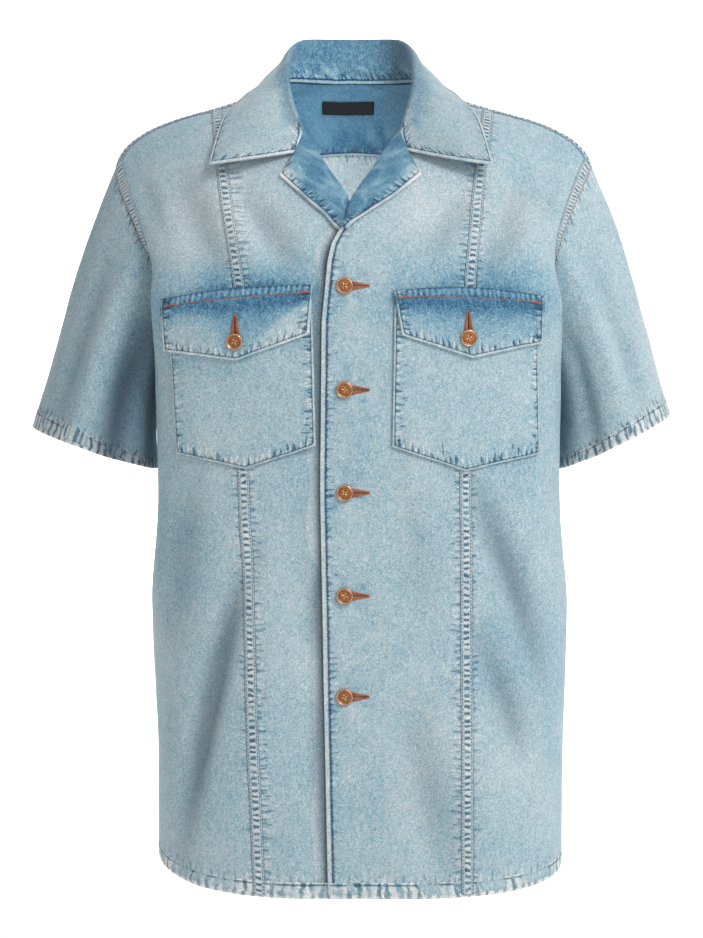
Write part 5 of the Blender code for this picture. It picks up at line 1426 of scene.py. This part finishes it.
# Collar and lapels.
collar = {
    # stations from the centre back to the gorge: place on the neckline in sections past the
    # shoulder, then x, y, z of the roll, x, y, z of the leaf's edge, and how far it bows out
    "stations": (
        (3.00, 0.0000, 0.0800, 0.0735, 0.0000, 0.1060, 0.0080, 0.0030),
        (2.55, 0.0260, 0.0775, 0.0735, 0.0310, 0.1035, 0.0075, 0.0030),
        (2.05, 0.0430, 0.0650, 0.0710, 0.0560, 0.0940, 0.0070, 0.0020),
        (1.55, 0.0535, 0.0450, 0.0610, 0.0720, 0.0720, 0.0070, 0.0010),
        (0.95, 0.0570, 0.0200, 0.0500, 0.0870, 0.0400, 0.0100, 0.0000),
        (0.25, 0.0580, -0.0050, 0.0380, 0.1000, 0.0000, 0.0060, 0.0000),
        (-0.25, 0.0580, -0.0290, 0.0190, 0.1200, -0.0480, -0.0190, 0.0030),
        (-0.60, 0.0535, -0.0480, -0.0050, 0.1310, -0.0990, -0.0667, 0.0050),
        (-0.82, 0.0480, -0.0590, -0.0205, 0.0930, -0.1040, -0.0620, 0.0050),
        (-1.00, 0.0430, -0.0660, -0.0300, 0.0510, -0.1020, -0.0540, 0.0040),
    ),
    "centreX": -0.0030, "fold": 0.0022, "freeOfBody": 0.015, "leafSteps": 5,
    "fine": 24,  # lines for each station
    "profile": (7, 6, 2, 3, 2, 3, 3, 3, 5, 12),  # steps for each stretch from the seam to the edge
    "cut": (0.560, 0.110), "area": 0.055,
}
lapels = {
    # the outline from the notch to the break: place on the roll line from the gorge to the
    # break, then x and z as seen from the front
    left: ((0.00, 0.0491, -0.0528), (0.24, 0.0620, -0.0765), (0.44, 0.0373, -0.0969),
           (0.57, 0.0175, -0.1101), (0.72, -0.0012, -0.1228), (0.90, -0.0105, -0.1325)),
    right: ((0.00, -0.0547, -0.0556), (0.24, -0.0685, -0.0775), (0.49, -0.0405, -0.1033),
            (0.67, -0.0166, -0.1241), (0.86, -0.0060, -0.1330)),
    "end": {left: 0.82, right: 0.74}, "lines": 60, "cut": (0.110, 0.060), "area": 0.0040,
}
leafRest = make["fellRaise"] + make["layGap"] + make["seamGap"] + make["double"] / 2
leafFromStand = make["double"] + make["layGap"]
stationTable = np.array(collar["stations"])
stationKnots = np.arange(len(stationTable), dtype=float)
stationSlopes = slopesOf(stationKnots, stationTable)
lastStation = len(stationTable) - 1


def stationAt(place):
    return between(stationKnots, stationTable, stationSlopes, stationSlopes, np.asarray(place, float))


def neckSeam(side, row):
    edge = bodyPoint(side, row, np.zeros(row.shape))
    last = np.minimum(row + 0.05, nape)
    none = np.zeros(row.shape)
    tangent = unit(bodyPoint(side, last, none) - bodyPoint(side, row - 0.05, none))
    inward = np.stack([np.full(row.shape, collar["centreX"]), none, edge[:, 2]], -1) - edge
    inward = unit(inward - tangent * (inward * tangent).sum(-1, keepdims=True))
    normal = facing(side, row, none + 0.03, barePoint)
    return edge + inward * (make["double"] / 2 + 3 * make["seamGap"]) - normal * make["double"] / 2


def bodySurface():
    points, faces = [], []
    columns = 30
    rows = np.arange(rowOf["frontArmhole"], rowOf["yoke"] + 0.01, 1 / 6)
    shares = np.arange(columns + 1) / columns
    for side in (left, right):
        first = len(points)
        row, across = np.meshgrid(rows, shares, indexing="ij")
        points += [Vector(p) for p in bodyPoint(side, row, across).reshape(-1, 3)]
        for i in range(len(rows) - 1):
            for j in range(columns):
                a = first + i * (columns + 1) + j
                face = (a, a + 1, a + columns + 2, a + columns + 1)
                faces.append(face if side == left else face[::-1])
    return BVHTree.FromPolygons(points, faces)


def clearOf(surface, point, clearance):
    # the point, raised where it is less than this far outside; far from the surface it stands free
    place, normal, _, distance = surface.find_nearest(Vector(point))
    near = 1 - float(smoothStep(0.6 * collar["freeOfBody"], collar["freeOfBody"], distance))
    return point + np.array(normal) * near * max(0.0, clearance - (Vector(point) - place).dot(normal))


def collarLines(side, places, surface):
    # control points of the collar's profile at stations: up its stand, over the fold, down its leaf
    station = stationAt(places)
    centre = np.array([collar["centreX"], 0.0, 0.0])
    mirror = np.array([side, 1.0, 1.0])
    seam = neckSeam(side, rowOf["shoulder"] + station[:, 0])
    roll = centre + station[:, 1:4] * mirror
    edge = centre + station[:, 4:7] * mirror
    up = unit(roll - seam)
    tangent = stationAt(np.minimum(places + 0.2, lastStation)) - stationAt(np.maximum(places - 0.2, 0))
    out = unit(np.cross(up, tangent[:, 1:4] * mirror) * side)
    radius = np.minimum(collar["fold"], np.linalg.norm(roll - seam, axis=1) * 0.4)[:, None]
    standTop = roll - up * radius
    leafTop = standTop + out * radius * 2
    lines = [seam, (seam + standTop) / 2, standTop]
    lines += [standTop + out * radius * 0.35 + up * radius * 0.8]
    lines += [standTop + out * radius * 1.65 + up * radius * 0.8]
    swellWay = unit(out + up * 0.6)
    for i in range(collar["leafSteps"] + 1):
        share = i / collar["leafSteps"]
        bow = station[:, 7:8] * 4 * share * (1 - share) * (1 - 0.4 * share)
        point = leafTop + (edge - leafTop) * share + swellWay * bow
        point = point + out * np.maximum(0.0, leafFromStand - ((point - seam) * out).sum(-1, keepdims=True))
        if i:
            point = np.array([clearOf(surface, p, leafRest) for p in point])
        lines.append(point)
    lines = np.stack(lines, 1)
    nearGorge = smoothStep(lastStation - 1.5, lastStation, places)[:, None, None]
    return lines * (1 - nearGorge) + lapelLines(side, np.zeros(1)) * nearGorge


def lapelLines(side, alongs):
    # control points of a lapel's profile: out past the front's edge, over it and down its leaf
    row = rowOf["gorge"] + (rowOf["break"] - rowOf["gorge"]) * alongs
    across = edgePlace(side, row)
    edge = bodyPoint(side, row, across)
    normal = facing(side, row, across, barePoint)
    inward = unit(edge - bodyPoint(side, row, across + 0.02))
    sunk = lapSink(side, row, edge)
    outline = np.array(lapels[side])
    x, z = np.interp(alongs, outline[:, 0], outline[:, 1]), np.interp(alongs, outline[:, 0], outline[:, 2])
    tipRow, tipAcross = placeAt(side, x, z)
    tip = bodyPoint(side, tipRow, tipAcross)
    tipNormal = facing(side, tipRow, tipAcross, barePoint)
    half = make["double"] / 2
    liftEdge, liftTip = half + 0.0034 - 0.0022 * alongs, half + make["layGap"] + 0.0013 * alongs
    top = edge + normal * (liftEdge - sunk)[:, None]
    tight = 1 - 0.7 * smoothStep(0.5, lapels["end"][side], alongs)
    lines = []
    for past, up in ((2 * make["seamGap"], -half + 0 * alongs), (0.0018, -half * 0.3 + 0 * alongs),
                     (0.0024, liftEdge * 0.25), (0.0021, liftEdge * 0.60), (0.0010, liftEdge * 0.88)):
        reach = half + np.maximum(past * tight, 2 * make["seamGap"])
        lines.append(edge + inward * reach[:, None] + normal * (up - sunk)[:, None])
    sinkTip = lapSink(side, tipRow, tip)
    bow = (0.0020 - 0.0014 * alongs) * np.minimum(1.0, np.linalg.norm(tip - edge, axis=1) / 0.020)
    for i in range(collar["leafSteps"] + 1):
        share = i / collar["leafSteps"]
        flat = top + (tip + tipNormal * (liftTip - sinkTip)[:, None] - top) * share
        rowHere, acrossHere = row + (tipRow - row) * share, across + (tipAcross - across) * share
        base = bodyPoint(side, rowHere, acrossHere)
        way = facing(side, rowHere, acrossHere, barePoint)
        lift = liftEdge + (liftTip - liftEdge) * share + bow * math.sin(math.pi * share)
        seated = base + way * (lift - lapSink(side, rowHere, base))[:, None]
        lines.append(seated if 0 < i < collar["leafSteps"] else flat)
    return np.stack(lines, 1)


def throughPoints(lines, counts):
    # smooth points along each line of control points, with these many steps in each stretch
    steps = np.linalg.norm(np.diff(lines, axis=1), axis=-1)[..., None] + 1e-9
    rises = np.diff(lines, axis=1) / steps
    before, after = steps[:, :-1], steps[:, 1:]
    middle = (rises[:, :-1] * after + rises[:, 1:] * before) / (before + after)
    slopes = np.concatenate([rises[:, :1], middle, rises[:, -1:]], 1)
    found = []
    for i, count in enumerate(counts):
        for k in range(count):
            s = k / count
            r = 1 - s
            point = lines[:, i] * (1 + 2 * s) * r * r + steps[:, i] * slopes[:, i] * s * r * r
            point = point + lines[:, i + 1] * s * s * (3 - 2 * s) - steps[:, i] * slopes[:, i + 1] * s * s * r
            found.append(point)
    found.append(lines[:, -1])
    return np.stack(found, 1)


def thickSheet(grid, thickness, relief):
    # both faces of a sheet about its middle grid, with relief standing out of the first
    normal = gridNormals(grid)
    return grid + normal * (thickness / 2 + relief)[..., None], grid - normal * thickness / 2


collarEdge = {"stitchAt": 0.0026, "lump": 0.00035, "lumpTone": 0.12, "period": 0.0080, "reach": 0.0080}


def buildCollar():
    surface = bodySurface()
    places = np.arange(0, lastStation * collar["fine"] + 1) / collar["fine"]
    leftLines = throughPoints(collarLines(left, places, surface), collar["profile"])
    rightLines = throughPoints(collarLines(right, places, surface), collar["profile"])
    grid = np.concatenate([rightLines[:0:-1], leftLines])
    for end, near in ((0, 1), (-1, -2)):
        grid[end] += unit(grid[near] - grid[end]) * make["seamGap"]
    down, across = gridRuns(grid)
    run = np.broadcast_to(down[:, -1:], across.shape)
    away = across[:, -1:] - across
    relief, tone = edgeWear(run, away, 101, collarEdge)
    x, z = grid[..., 0], grid[..., 2]
    uneven = 0.006 * noise(run / 0.030, 0.0, 0.0, 105)
    rollAt = sum(collar["profile"][:4])  # the line on top of the fold
    fromRoll = across - across[:, rollAt : rollAt + 1]
    onStand = 1 - smoothStep(-0.004, 0.003, fromRoll)
    faded = smoothStep(0.002, np.where(x > 0, 0.036, 0.020), fromRoll + uneven)
    toEnd = np.minimum(down, down[-1:] - down)
    tone = tone - 0.62 * onStand - np.where(x > 0, 0.26, 0.30) * (1 - faded) * (1 - onStand)
    # thin worn lines run slantwise up the stand from its seam
    worn = hump(noise((x + 0.8 * across) / 0.010, (across - 0.3 * x) / 0.030, 0.0, 103), 0.13)
    tone = tone + 0.42 * worn * hump(across - 0.008, 0.012) * (across > 0.002)
    wrinkle = np.tanh(2.2 * noise((z + 0.7 * x) / 0.008, (x - 0.4 * z) / 0.004, 0.0, 106))
    tone = tone + 0.26 * wrinkle * hump(toEnd, 0.018) * (1 - onStand)
    # painted shade: on the stand, darker towards the wearer's left, and on the leaves just below the roll
    shade = 0.60 * onStand * smoothStep(0.012, 0.046, x)
    shade = shade + 0.30 * (1 - onStand) * (1 - smoothStep(0.0, 0.018, fromRoll))
    tone = tone + 0.10 * (1 - onStand) * noise(x / 0.020, across / 0.030, grid[..., 1] / 0.02, 104)
    tone = tone + 0.08 * washTone(grid)
    outer, inner = thickSheet(grid, make["double"], relief)
    onLeaf = fromRoll > 0
    endRun, endAway = np.where(onLeaf, across + 8, run + 4 + 0.7 * across), np.where(onLeaf, toEnd, across)
    fields = {
        "tone": tone, "edge": np.where(onLeaf, np.minimum(away, toEnd), across + 0.0008), "shade": shade,
        "sides": seamField(run, pastStitches(away, collarEdge), 1.0),
        "ends": seamField(endRun, pastStitches(endAway, collarEdge), 1.0),
    }
    piece = wall("campCollar", outer, inner, (collarDenim,), fields, bead=0.5)
    dress(piece, ["collar"])
    normal = unit(outer - inner)
    sew("collarStitches", *insetLine(outer, normal, collarEdge["stitchAt"]))
    for index in (3, len(outer) - 4):
        sewGrid("collarStitches", outer, normal, index, 0, 30, -2)
    index = 1 + 0.0025 / across[len(grid) // 2, 1]
    sewGrid("collarStitches", outer, normal, index, 1)


def insetLine(grid, normal, inset):
    # the line this far in from the last column of a grid
    _, across = gridRuns(grid)
    points, ways = [], []
    for line, way, run in zip(grid, normal, across):
        points.append(atRun(run[-1] - inset, run, line))
        ways.append(atRun(run[-1] - inset, run, way))
    return np.array(points), unit(np.array(ways))


def buildLapel(side):
    alongs = np.linspace(0, lapels["end"][side], lapels["lines"])
    grid = throughPoints(lapelLines(side, alongs), collar["profile"])
    grid[0] += unit(grid[1] - grid[0]) * make["seamGap"]
    if gridNormals(grid)[:, -8:, 1].mean() > 0:
        grid = grid[::-1]
    down, across = gridRuns(grid)
    run = np.broadcast_to(down[:, -1:], across.shape)
    away = across[:, -1:] - across
    relief, tone = edgeWear(run, away, 111 + side, collarEdge)
    x, z = grid[..., 0], grid[..., 2]
    notch = np.exp(-(((np.abs(x + 0.0035) - 0.060) / 0.014) ** 2) - ((z + 0.078) / 0.014) ** 2)
    streak = np.tanh(2.0 * noise((x * side + 0.5 * z) / 0.016, (z - 0.5 * x * side) / 0.004, 0.0, 113))
    worn = hump(noise((x * side + 0.5 * z) / 0.030, (z - 0.7 * x * side) / 0.009, 0.0, 115), 0.11)
    tone = tone - 0.12 + 0.66 * notch + 0.12 * streak + 0.24 * worn
    outer, inner = thickSheet(grid, make["double"], relief)
    fields = {"tone": tone, "edge": away,
              "sides": seamField(run + 2 * side, pastStitches(away, collarEdge), 1.0)}
    piece = wall("lapel" + sideName[side], outer, inner, (darkDenim,), fields, bead=0.5)
    dress(piece, ["lapel_" + nodeSide[side]])
    sew("collarStitches", *insetLine(outer, unit(outer - inner), collarEdge["stitchAt"]))


# Pockets and flaps.
pockets = {
    # top outer, top inner, low outer and low inner corners as x and z, drop of the point, arch
    right: (-0.1715, -0.2060, -0.0385, -0.1950, -0.1640, -0.3345, -0.0352, -0.3279, 0.0180, 0.002),
    left: (0.1700, -0.2030, 0.0372, -0.1995, 0.1702, -0.3350, 0.0350, -0.3290, 0.0190, 0.003),
    "lift": make["fellRaise"] + make["layGap"], "steps": (84, 88), "cut": (0.138, 0.150), "area": 0.0195,
}
flaps = {
    right: (-0.1770, -0.1925, -0.0375, -0.1811, -0.1740, -0.2385, -0.0411, -0.2257, 0.0172, 0.003),
    left: (0.1737, -0.1900, 0.0363, -0.1863, 0.1726, -0.2314, 0.0439, -0.2268, 0.0178, 0.005),
    "steps": (104, 42), "bandAt": 0.0078, "cut": (0.142, 0.064), "area": 0.0075,
}
flapRest = pockets["lift"] + make["cloth"] + make["layGap"]


def flapLift(down):
    # a flap is sewn on at its top, and lies over the pocket below
    return pockets["lift"] + (flapRest - pockets["lift"]) * smoothStep(0.0, 0.2, down)


def patchPlace(outline, share, down):
    # x and z of a place on a patch: share from its outer to its inner side, down from 0 to 1
    topOutX, topOutZ, topInX, topInZ, lowOutX, lowOutZ, lowInX, lowInZ, drop, arch = outline
    topX = topOutX + (topInX - topOutX) * share
    lowX = lowOutX + (lowInX - lowOutX) * share
    topZ = topOutZ + (topInZ - topOutZ) * share + arch * np.sin(np.pi * share)
    lowZ = lowOutZ + (lowInZ - lowOutZ) * share - drop * (1 - np.abs(2 * share - 1))
    return topX + (lowX - topX) * down, topZ + (lowZ - topZ) * down


def patchGrid(side, outline, steps):
    share, down = np.meshgrid(*(np.linspace(0, 1, count + 1) for count in steps))
    x, z = patchPlace(outline, share, down)
    return *seenAt(side, x, z), share, down


pocketEdge = {"stitchAt": 0.0021, "lump": 0.00040, "lumpTone": 0.12, "period": 0.0095, "reach": 0.0095}
flapEdge = {"stitchAt": 0.0026, "lump": 0.00042, "lumpTone": 0.12, "period": 0.0085, "reach": 0.0085}


def patchWear(grid, look, seed):
    # wear along the sides and lower edge of a patch
    down, across = gridRuns(grid)
    low = down[-1:] - down
    relief, tone = np.zeros(down.shape), np.zeros(down.shape)
    nearest = np.full(down.shape, 1.0)
    for run, away in ((down, across), (down + 3.0, across[:, -1:] - across), (across + 6.0, low)):
        sideRelief, sideTone = edgeWear(run, away, seed, look)
        closer = smoothStep(-0.0015, 0.0015, nearest - away)
        relief, tone = relief * (1 - closer) + sideRelief * closer, tone * (1 - closer) + sideTone * closer
        nearest = np.minimum(nearest, away)
    isFirst = across < across[:, -1:] / 2
    beside = np.where(isFirst, across, across[:, -1:] - across)
    fields = {"tone": tone, "edge": nearest,
              "sides": seamField(down + 3.0 * isFirst + seed, pastStitches(beside, look), 0.9),
              "ends": seamField(across + seed, pastStitches(low, look), 1.0)}
    return relief, fields, down, across


def insetPatch(grid, normal, inset):
    # the line this far in from the sides and lower edge of a patch, from its top round to its top
    down, across = gridRuns(grid)
    high, wide = grid.shape[:2]
    lowIndex = high - 1 - inset / (down[-1] - down[-2]).mean()
    firstIndex = inset / across[high // 2, 1]
    lastIndex = wide - 1 - inset / (across[high // 2, -1] - across[high // 2, -2])
    rowsDown, columnsAcross = int(lowIndex), np.arange(int(firstIndex) + 1, int(lastIndex) + 1)
    lines = []
    for values in (grid, normal):
        lines.append(np.concatenate([
            gridLine(values, firstIndex, 1)[: rowsDown + 1],
            gridLine(values, lowIndex, 0)[columnsAcross],
            gridLine(values, lastIndex, 1)[rowsDown::-1],
        ]))
    return lines[0], unit(lines[1])


def buildPockets():
    for side in (right, left):
        name = "pocket" + sideName[side]
        base, normal, *_ = patchGrid(side, pockets[side], pockets["steps"])
        relief, fields, *_ = patchWear(base, pocketEdge, 121 + side)
        lift = pockets["lift"]
        outer = base + normal * (lift + make["cloth"] + relief)[..., None]
        inner = base + normal * lift
        fields["tone"] = fields["tone"] + 0.8 * washTone(base)
        pocket = wall(name, outer, inner, (patchDenim,), fields, bead=0.3)
        dress(pocket, ["pocket_" + nodeSide[side]])
        sew("patchStitches", *insetPatch(outer, normal, pocketEdge["stitchAt"]))


def flapTone(side, share, down, high):
    # full of dye under the top row of stitches, fading to the lower edge and its corners
    depth = down * high
    tone = -0.42 - 0.36 * hump(depth - 0.012, 0.0075) + 0.36 * smoothStep(0.016, 0.052, depth)
    middle = hump(share - 0.60, 0.24)
    if side == right:
        outerPart = 0.24 * smoothStep(0.48, 0.20, share) * smoothStep(0.008, 0.020, depth)
        corner = 0.36 * smoothStep(0.00, 0.10, share - (0.98 - 0.38 * smoothStep(0.1, 0.9, down)))
        return tone + outerPart + corner - 0.10 * middle * smoothStep(0.2, 0.7, down)
    return tone + 0.14 * smoothStep(0.95, 1.35, share + 0.35 * down)


def buildFlaps():
    for side in (right, left):
        name = "flap" + sideName[side]
        base, normal, share, down = patchGrid(side, flaps[side], flaps["steps"])
        relief, fields, runDown, across = patchWear(base, flapEdge, 131 + side)
        band = 1 - smoothStep(flaps["bandAt"] - 0.0018, flaps["bandAt"], runDown)
        rungs = ladder(across, runDown, 135 + side, 0.0052, 0.15)
        groove = hump(runDown - flaps["bandAt"], 0.0007)
        relief = relief * (1 - band) + 0.00035 * rungs * band - 0.00030 * groove
        relief = relief + 0.0006 * hump(across - across[:, -1:] / 2, 0.016) * smoothStep(0.5, 1, down)
        topLine = hump(runDown, 0.0008)
        tone = fields["tone"] + (0.34 * rungs - 0.04) * band - 0.25 * groove - 0.45 * topLine
        fields["tone"] = tone + flapTone(side, share, down, 0.050)
        lift = flapLift(down)
        outer = base + normal * (lift + make["double"] + relief)[..., None]
        inner = base + normal * lift[..., None]
        flap = wall(name, outer, inner, (midDenim,), fields, bead=0.3)
        dress(flap, ["flap_" + nodeSide[side]])
        sew("patchStitches", *insetPatch(outer, normal, flapEdge["stitchAt"]))
        index = flaps["bandAt"] / runDown[1].mean()
        sewGrid("orangeStitches", outer, normal, index, 0, 2, -2)
        top, topWay = gridLine(outer, index, 0), gridLine(normal, index, 0)
        for first, second in ((2, 10), (-3, -11)):
            barTack("orangeStitches", top[first], top[second], topWay[first])


tack = {"bars": 16, "reach": 0.0011, "wide": 0.0008, "high": 0.0006, "lift": 0.0002}


def barTack(name, start, end, normal):
    # short bars laid close across a line of thread
    way = unit(end - start)
    aside = np.cross(way, normal)
    shares = (np.arange(tack["bars"]) + 0.5)[:, None] / tack["bars"]
    middle = start + (end - start) * shares + normal * tack["lift"]
    normals = np.tile(normal, (tack["bars"], 1))
    aside = aside * tack["reach"]
    threadBars(name, middle - aside, middle + aside, normals, tack["wide"], tack["high"])


# Label, buttons and buttonholes.
label = {"x": -0.0057, "z": 0.0083, "size": (0.0510, 0.0110), "steps": (44, 12), "cloth": 0.0010,
         "cut": (0.051, 0.025), "area": 0.00062}


def buildLabel():
    wide, high = label["size"]
    share, down = np.meshgrid(*(np.linspace(0, 1, steps + 1) for steps in label["steps"]))
    x, z = label["x"] + wide * (share - 0.5), label["z"] + high * (0.5 - down)
    base, normal = seenAt(left, x, z, back=True)
    sag = 0.0006 * np.sin(np.pi * down) * (0.4 + 0.6 * np.sin(np.pi * share))
    sag = sag + 0.0002 * noise(x / 0.009, z / 0.01, 0, 141)
    depth = 2 * make["cloth"] + make["seamGap"] + make["layGap"]
    near, far = base - normal * (depth + label["cloth"] + sag)[..., None], base - normal * depth
    piece = wall("neckLabel", near, far, (labelSatin,), {"tone": 0 * x}, bead=0.5)
    dress(piece, ["neck_label"])


button = {
    "radius": 0.0078, "height": 0.0032, "steps": 72, "seat": 0.0004,
    "x": -0.0087, "heights": (-0.1812, -0.2768, -0.3714, -0.4660, -0.5587),
    "flaps": {right: (-0.1086, -0.2316), left: (0.1042, -0.2287)},
}


def buttonGrid():
    # rings from the middle of the face out over the rim and under it to the seat
    radius, height, steps = button["radius"], button["height"], button["steps"]
    rings = [0.02, 0.10, 0.18, 0.26, 0.33, 0.37, 0.41, 0.47, 0.54, 0.60, 0.65, 0.68, 0.71, 0.74, 0.77, 0.80,
             0.84, 0.88, 0.92, 0.96, 0.99]
    turn = np.arange(steps) * 2 * np.pi / steps
    grid, tone = [], []

    def addRing(share, up, shine):
        reach = radius * share
        grid.append(np.stack([reach * np.cos(turn), reach * np.sin(turn), up + 0 * turn], -1))
        tone.append(shine + 0 * turn)

    for share in rings:
        rim = hump(share - 0.91, 0.055)
        rope = hump(share - 0.74, 0.040) * (0.75 + 0.25 * np.cos(36 * turn + 40 * share))
        ticks = hump(share - 0.53, 0.085) * (0.5 + 0.5 * np.cos(18 * turn))
        lobes = hump(share - 0.20, 0.13) * (0.55 + 0.45 * np.cos(4 * turn))
        ring = 0.35 * hump(share - 0.39, 0.030)
        shape = rim + 0.75 * rope + 0.55 * ticks + 0.75 * lobes + ring
        fall = smoothStep(0.93, 1.0, share) * 0.35
        up = height * (0.66 + 0.30 * np.minimum(shape, 1.15) / 1.15 - fall)
        addRing(share, up, np.minimum(shape, 1.0) * 1.3 - 0.65)
    for share, up in ((1.0, 0.55), (0.985, 0.32), (0.92, 0.10), (0.80, 0.0)):
        addRing(share, height * up, -0.6)
    return np.array(grid), np.array(tone)


def buttonMesh(name):
    grid, tone = buttonGrid()
    high, wide = grid.shape[:2]
    index = np.arange(high * wide).reshape(high, wide)
    faces = np.stack([index[:-1], index[1:], np.roll(index[1:], -1, 1), np.roll(index[:-1], -1, 1)], -1)
    faces = faces.reshape(-1, 4).tolist() + [index[0].tolist(), index[-1][::-1].tolist()]
    mesh = bpy.data.meshes.new(name)
    mesh.from_pydata(grid.reshape(-1, 3).tolist(), [], faces)
    mesh.attributes.new("tone", "FLOAT", "POINT").data.foreach_set("value", tone.ravel().astype(np.float32))
    mesh.materials.append(oldCopper)
    mesh.shade_smooth()
    return mesh


def buildButton(name, node, side, x, z, lift, turn):
    point, normal = seenAt(side, x, z)
    place = point + normal * (lift + button["seat"])
    frameTurn = Vector(normal).to_track_quat("Z", "Y").to_matrix().to_4x4()
    mesh = buttonMesh(name)
    mesh.transform(Matrix.Translation(Vector(place)) @ frameTurn @ Matrix.Rotation(turn, 4, "Z"))
    dress(addObject(name, mesh), [node])


buttonhole = {
    "wideEnd": 0.0050, "narrowEnd": 0.0016, "barWide": 0.0009, "barHigh": 0.0008, "pitch": 0.00080,
    "slit": 0.0008, "slitHigh": 0.0004, "lift": 0.0001, "start": 0.0062, "frontEnd": 0.0215,
    "flapEnd": 0.0230, "flapLift": 0.0003,
}


def buildHole(side, x, z, wayX, wayZ, end, lift):
    # a keyhole worked over in thread: bars stand across both sides of a dark slit
    start, lift = buttonhole["start"], lift + buttonhole["lift"]
    count = int((end - start) / buttonhole["pitch"])
    along = start + (np.arange(count) + 0.5) * (end - start) / count
    outer = np.interp(along, (start, end), (buttonhole["wideEnd"], buttonhole["narrowEnd"]))
    for hand in (-1, 1):
        ends = []
        for reach in (buttonhole["slit"] * 0.3, outer):
            out = (reach + 0 * along) * hand
            point, normal = seenAt(side, x + wayX * along - wayZ * out, z + wayZ * along + wayX * out)
            ends.append(point + normal * lift)
        threadBars("buttonholeThread", *ends, normal, buttonhole["barWide"], buttonhole["barHigh"])
    middle, normal = seenAt(side, x + wayX * along, z + wayZ * along)
    middle = middle + normal * lift
    threadBars("buttonholeSlit", middle[:-1], middle[1:], normal[:-1],
               buttonhole["slit"], buttonhole["slitHigh"])
    way = unit(middle[-1] - middle[-2])
    aside = np.cross(way, normal[-1]) * buttonhole["narrowEnd"]
    bars = middle[-1] + way * np.array([[0.0], [0.0008], [0.0016]])
    threadBars("buttonholeThread", bars - aside, bars + aside, np.tile(normal[-1], (3, 1)),
               buttonhole["barWide"], buttonhole["barHigh"])


# Build.
print("seams and hems")
buildStrips()
buildHems()
print("fronts, back and yokes")
buildFronts()
buildBack()
buildYoke("yokeOuter", "yoke_outer", 0.0, (lightDenim,))
buildYoke("yokeInner", "yoke_inner", make["cloth"] + make["seamGap"], (darkDenim,))
print("sleeves")
for side in (left, right):
    buildSleeve(side)
print("collar and lapels")
buildCollar()
for side in (left, right):
    buildLapel(side)
print("pockets, flaps and label")
buildPockets()
buildFlaps()
buildLabel()
print("buttons and buttonholes")
for number, z in enumerate(button["heights"], 1):
    buildButton(f"frontButton{number}", f"button_front_{number}", left, button["x"], z, 0.0, 0.7 * number)
    buildHole(left, button["x"], z, 1.0, 0.0, buttonhole["frontEnd"], 0.0)
for side, (x, z) in button["flaps"].items():
    liftHere = flapRest + make["double"]
    buildButton("flapButton" + sideName[side], "button_flap_" + nodeSide[side], side, x, z, liftHere, 0.4)
    buildHole(side, x, z, 0.0, 1.0, buttonhole["flapEnd"], liftHere + buttonhole["flapLift"])
print("stitches")
buildThreads("bodyStitches", brownThread)
buildThreads("collarStitches", brownThread)
buildThreads("patchStitches", brownThread)
buildThreads("orangeStitches", orangeThread)
buildThreads("buttonholeThread", holeThread)
buildThreads("buttonholeSlit", slitShadow)
for name, node in frame["nodes"].items():
    if not node.hide_render:
        print("still the plain solid:", name)

# Studio.
studio = {"distance": 2.9, "eyeX": -0.0024, "eyeZ": -0.3493, "lens": 36 * 3022 / 938, "floorZ": -0.86}
camera = bpy.data.objects.new("camera", bpy.data.cameras.new("camera"))
camera.location = (studio["eyeX"], -studio["distance"], studio["eyeZ"])
camera.rotation_euler = (math.radians(90), 0, 0)
camera.data.sensor_width = 36
camera.data.lens = studio["lens"]
bpy.context.scene.collection.objects.link(camera)
bpy.context.scene.camera = camera

bpy.ops.mesh.primitive_circle_add(vertices=96, radius=14, fill_type="NGON", location=(0, 0, studio["floorZ"]))
floor = bpy.context.object
floor.name = "floor"
# matt white paint, which gives the floor no shine
matPaint, *_ = newMaterial("matPaint", {"Base Color": hexColour("#F4F4F2"), "Roughness": 0.9})
floor.data.materials.append(matPaint)

bpy.ops.mesh.primitive_plane_add(size=1, location=(0, 5.8, 1.74), rotation=(math.radians(90), 0, 0))
backdrop = bpy.context.object
backdrop.name = "backdrop"
backdrop.scale = (13, 5.2, 1)
# white paper lit from behind, which glows evenly
litPaper, *_ = newMaterial("litPaper", {"Emission Color": (1, 1, 1, 1), "Emission Strength": 0.7})
backdrop.data.materials.append(litPaper)

world = bpy.data.worlds.new("studio")
bpy.context.scene.world = world
world.use_nodes = True
sky = world.node_tree
sky.nodes["Background"].inputs["Color"].default_value = (1, 1, 1, 1)
way = addNode(sky, "SeparateXYZ", {0: (addNode(sky, "TexCoord", {}), "Generated")})
across = addNode(sky, "MapRange", {"From Min": -1.0, "To Min": 0.40, "To Max": 0.70, "Value": (way, 0)})
connect(sky, sky.nodes["Background"], {"Strength": (across, "Result")})
bpy.context.scene.view_settings.view_transform = "Standard"


def softbox(name, place, aim, size, power):
    lamp = bpy.data.objects.new(name, bpy.data.lights.new(name, "AREA"))
    lamp.data.size = size
    lamp.data.energy = power
    lamp.location = place
    lamp.rotation_euler = (Vector(aim) - Vector(place)).to_track_quat("-Z", "Y").to_euler()
    bpy.context.scene.collection.objects.link(lamp)


softbox("keyLight", (1.7, -2.5, 1.9), (0, 0, -0.35), 1.2, 66)
softbox("floorLight", (0.0, 2.9, 1.7), (0, 3.5, -0.86), 3.4, 125)
# inside the neck, below its opening
softbox("neckLight", (-0.03, -0.045, -0.155), (-0.01, 0.10, 0.0), 0.10, 0.26)

triangles = {item.name: sum(len(p.vertices) - 2 for p in item.data.polygons) for item in collection.objects}
print("triangles", sum(triangles.values()), "most", max(triangles.items(), key=lambda pair: pair[1]))
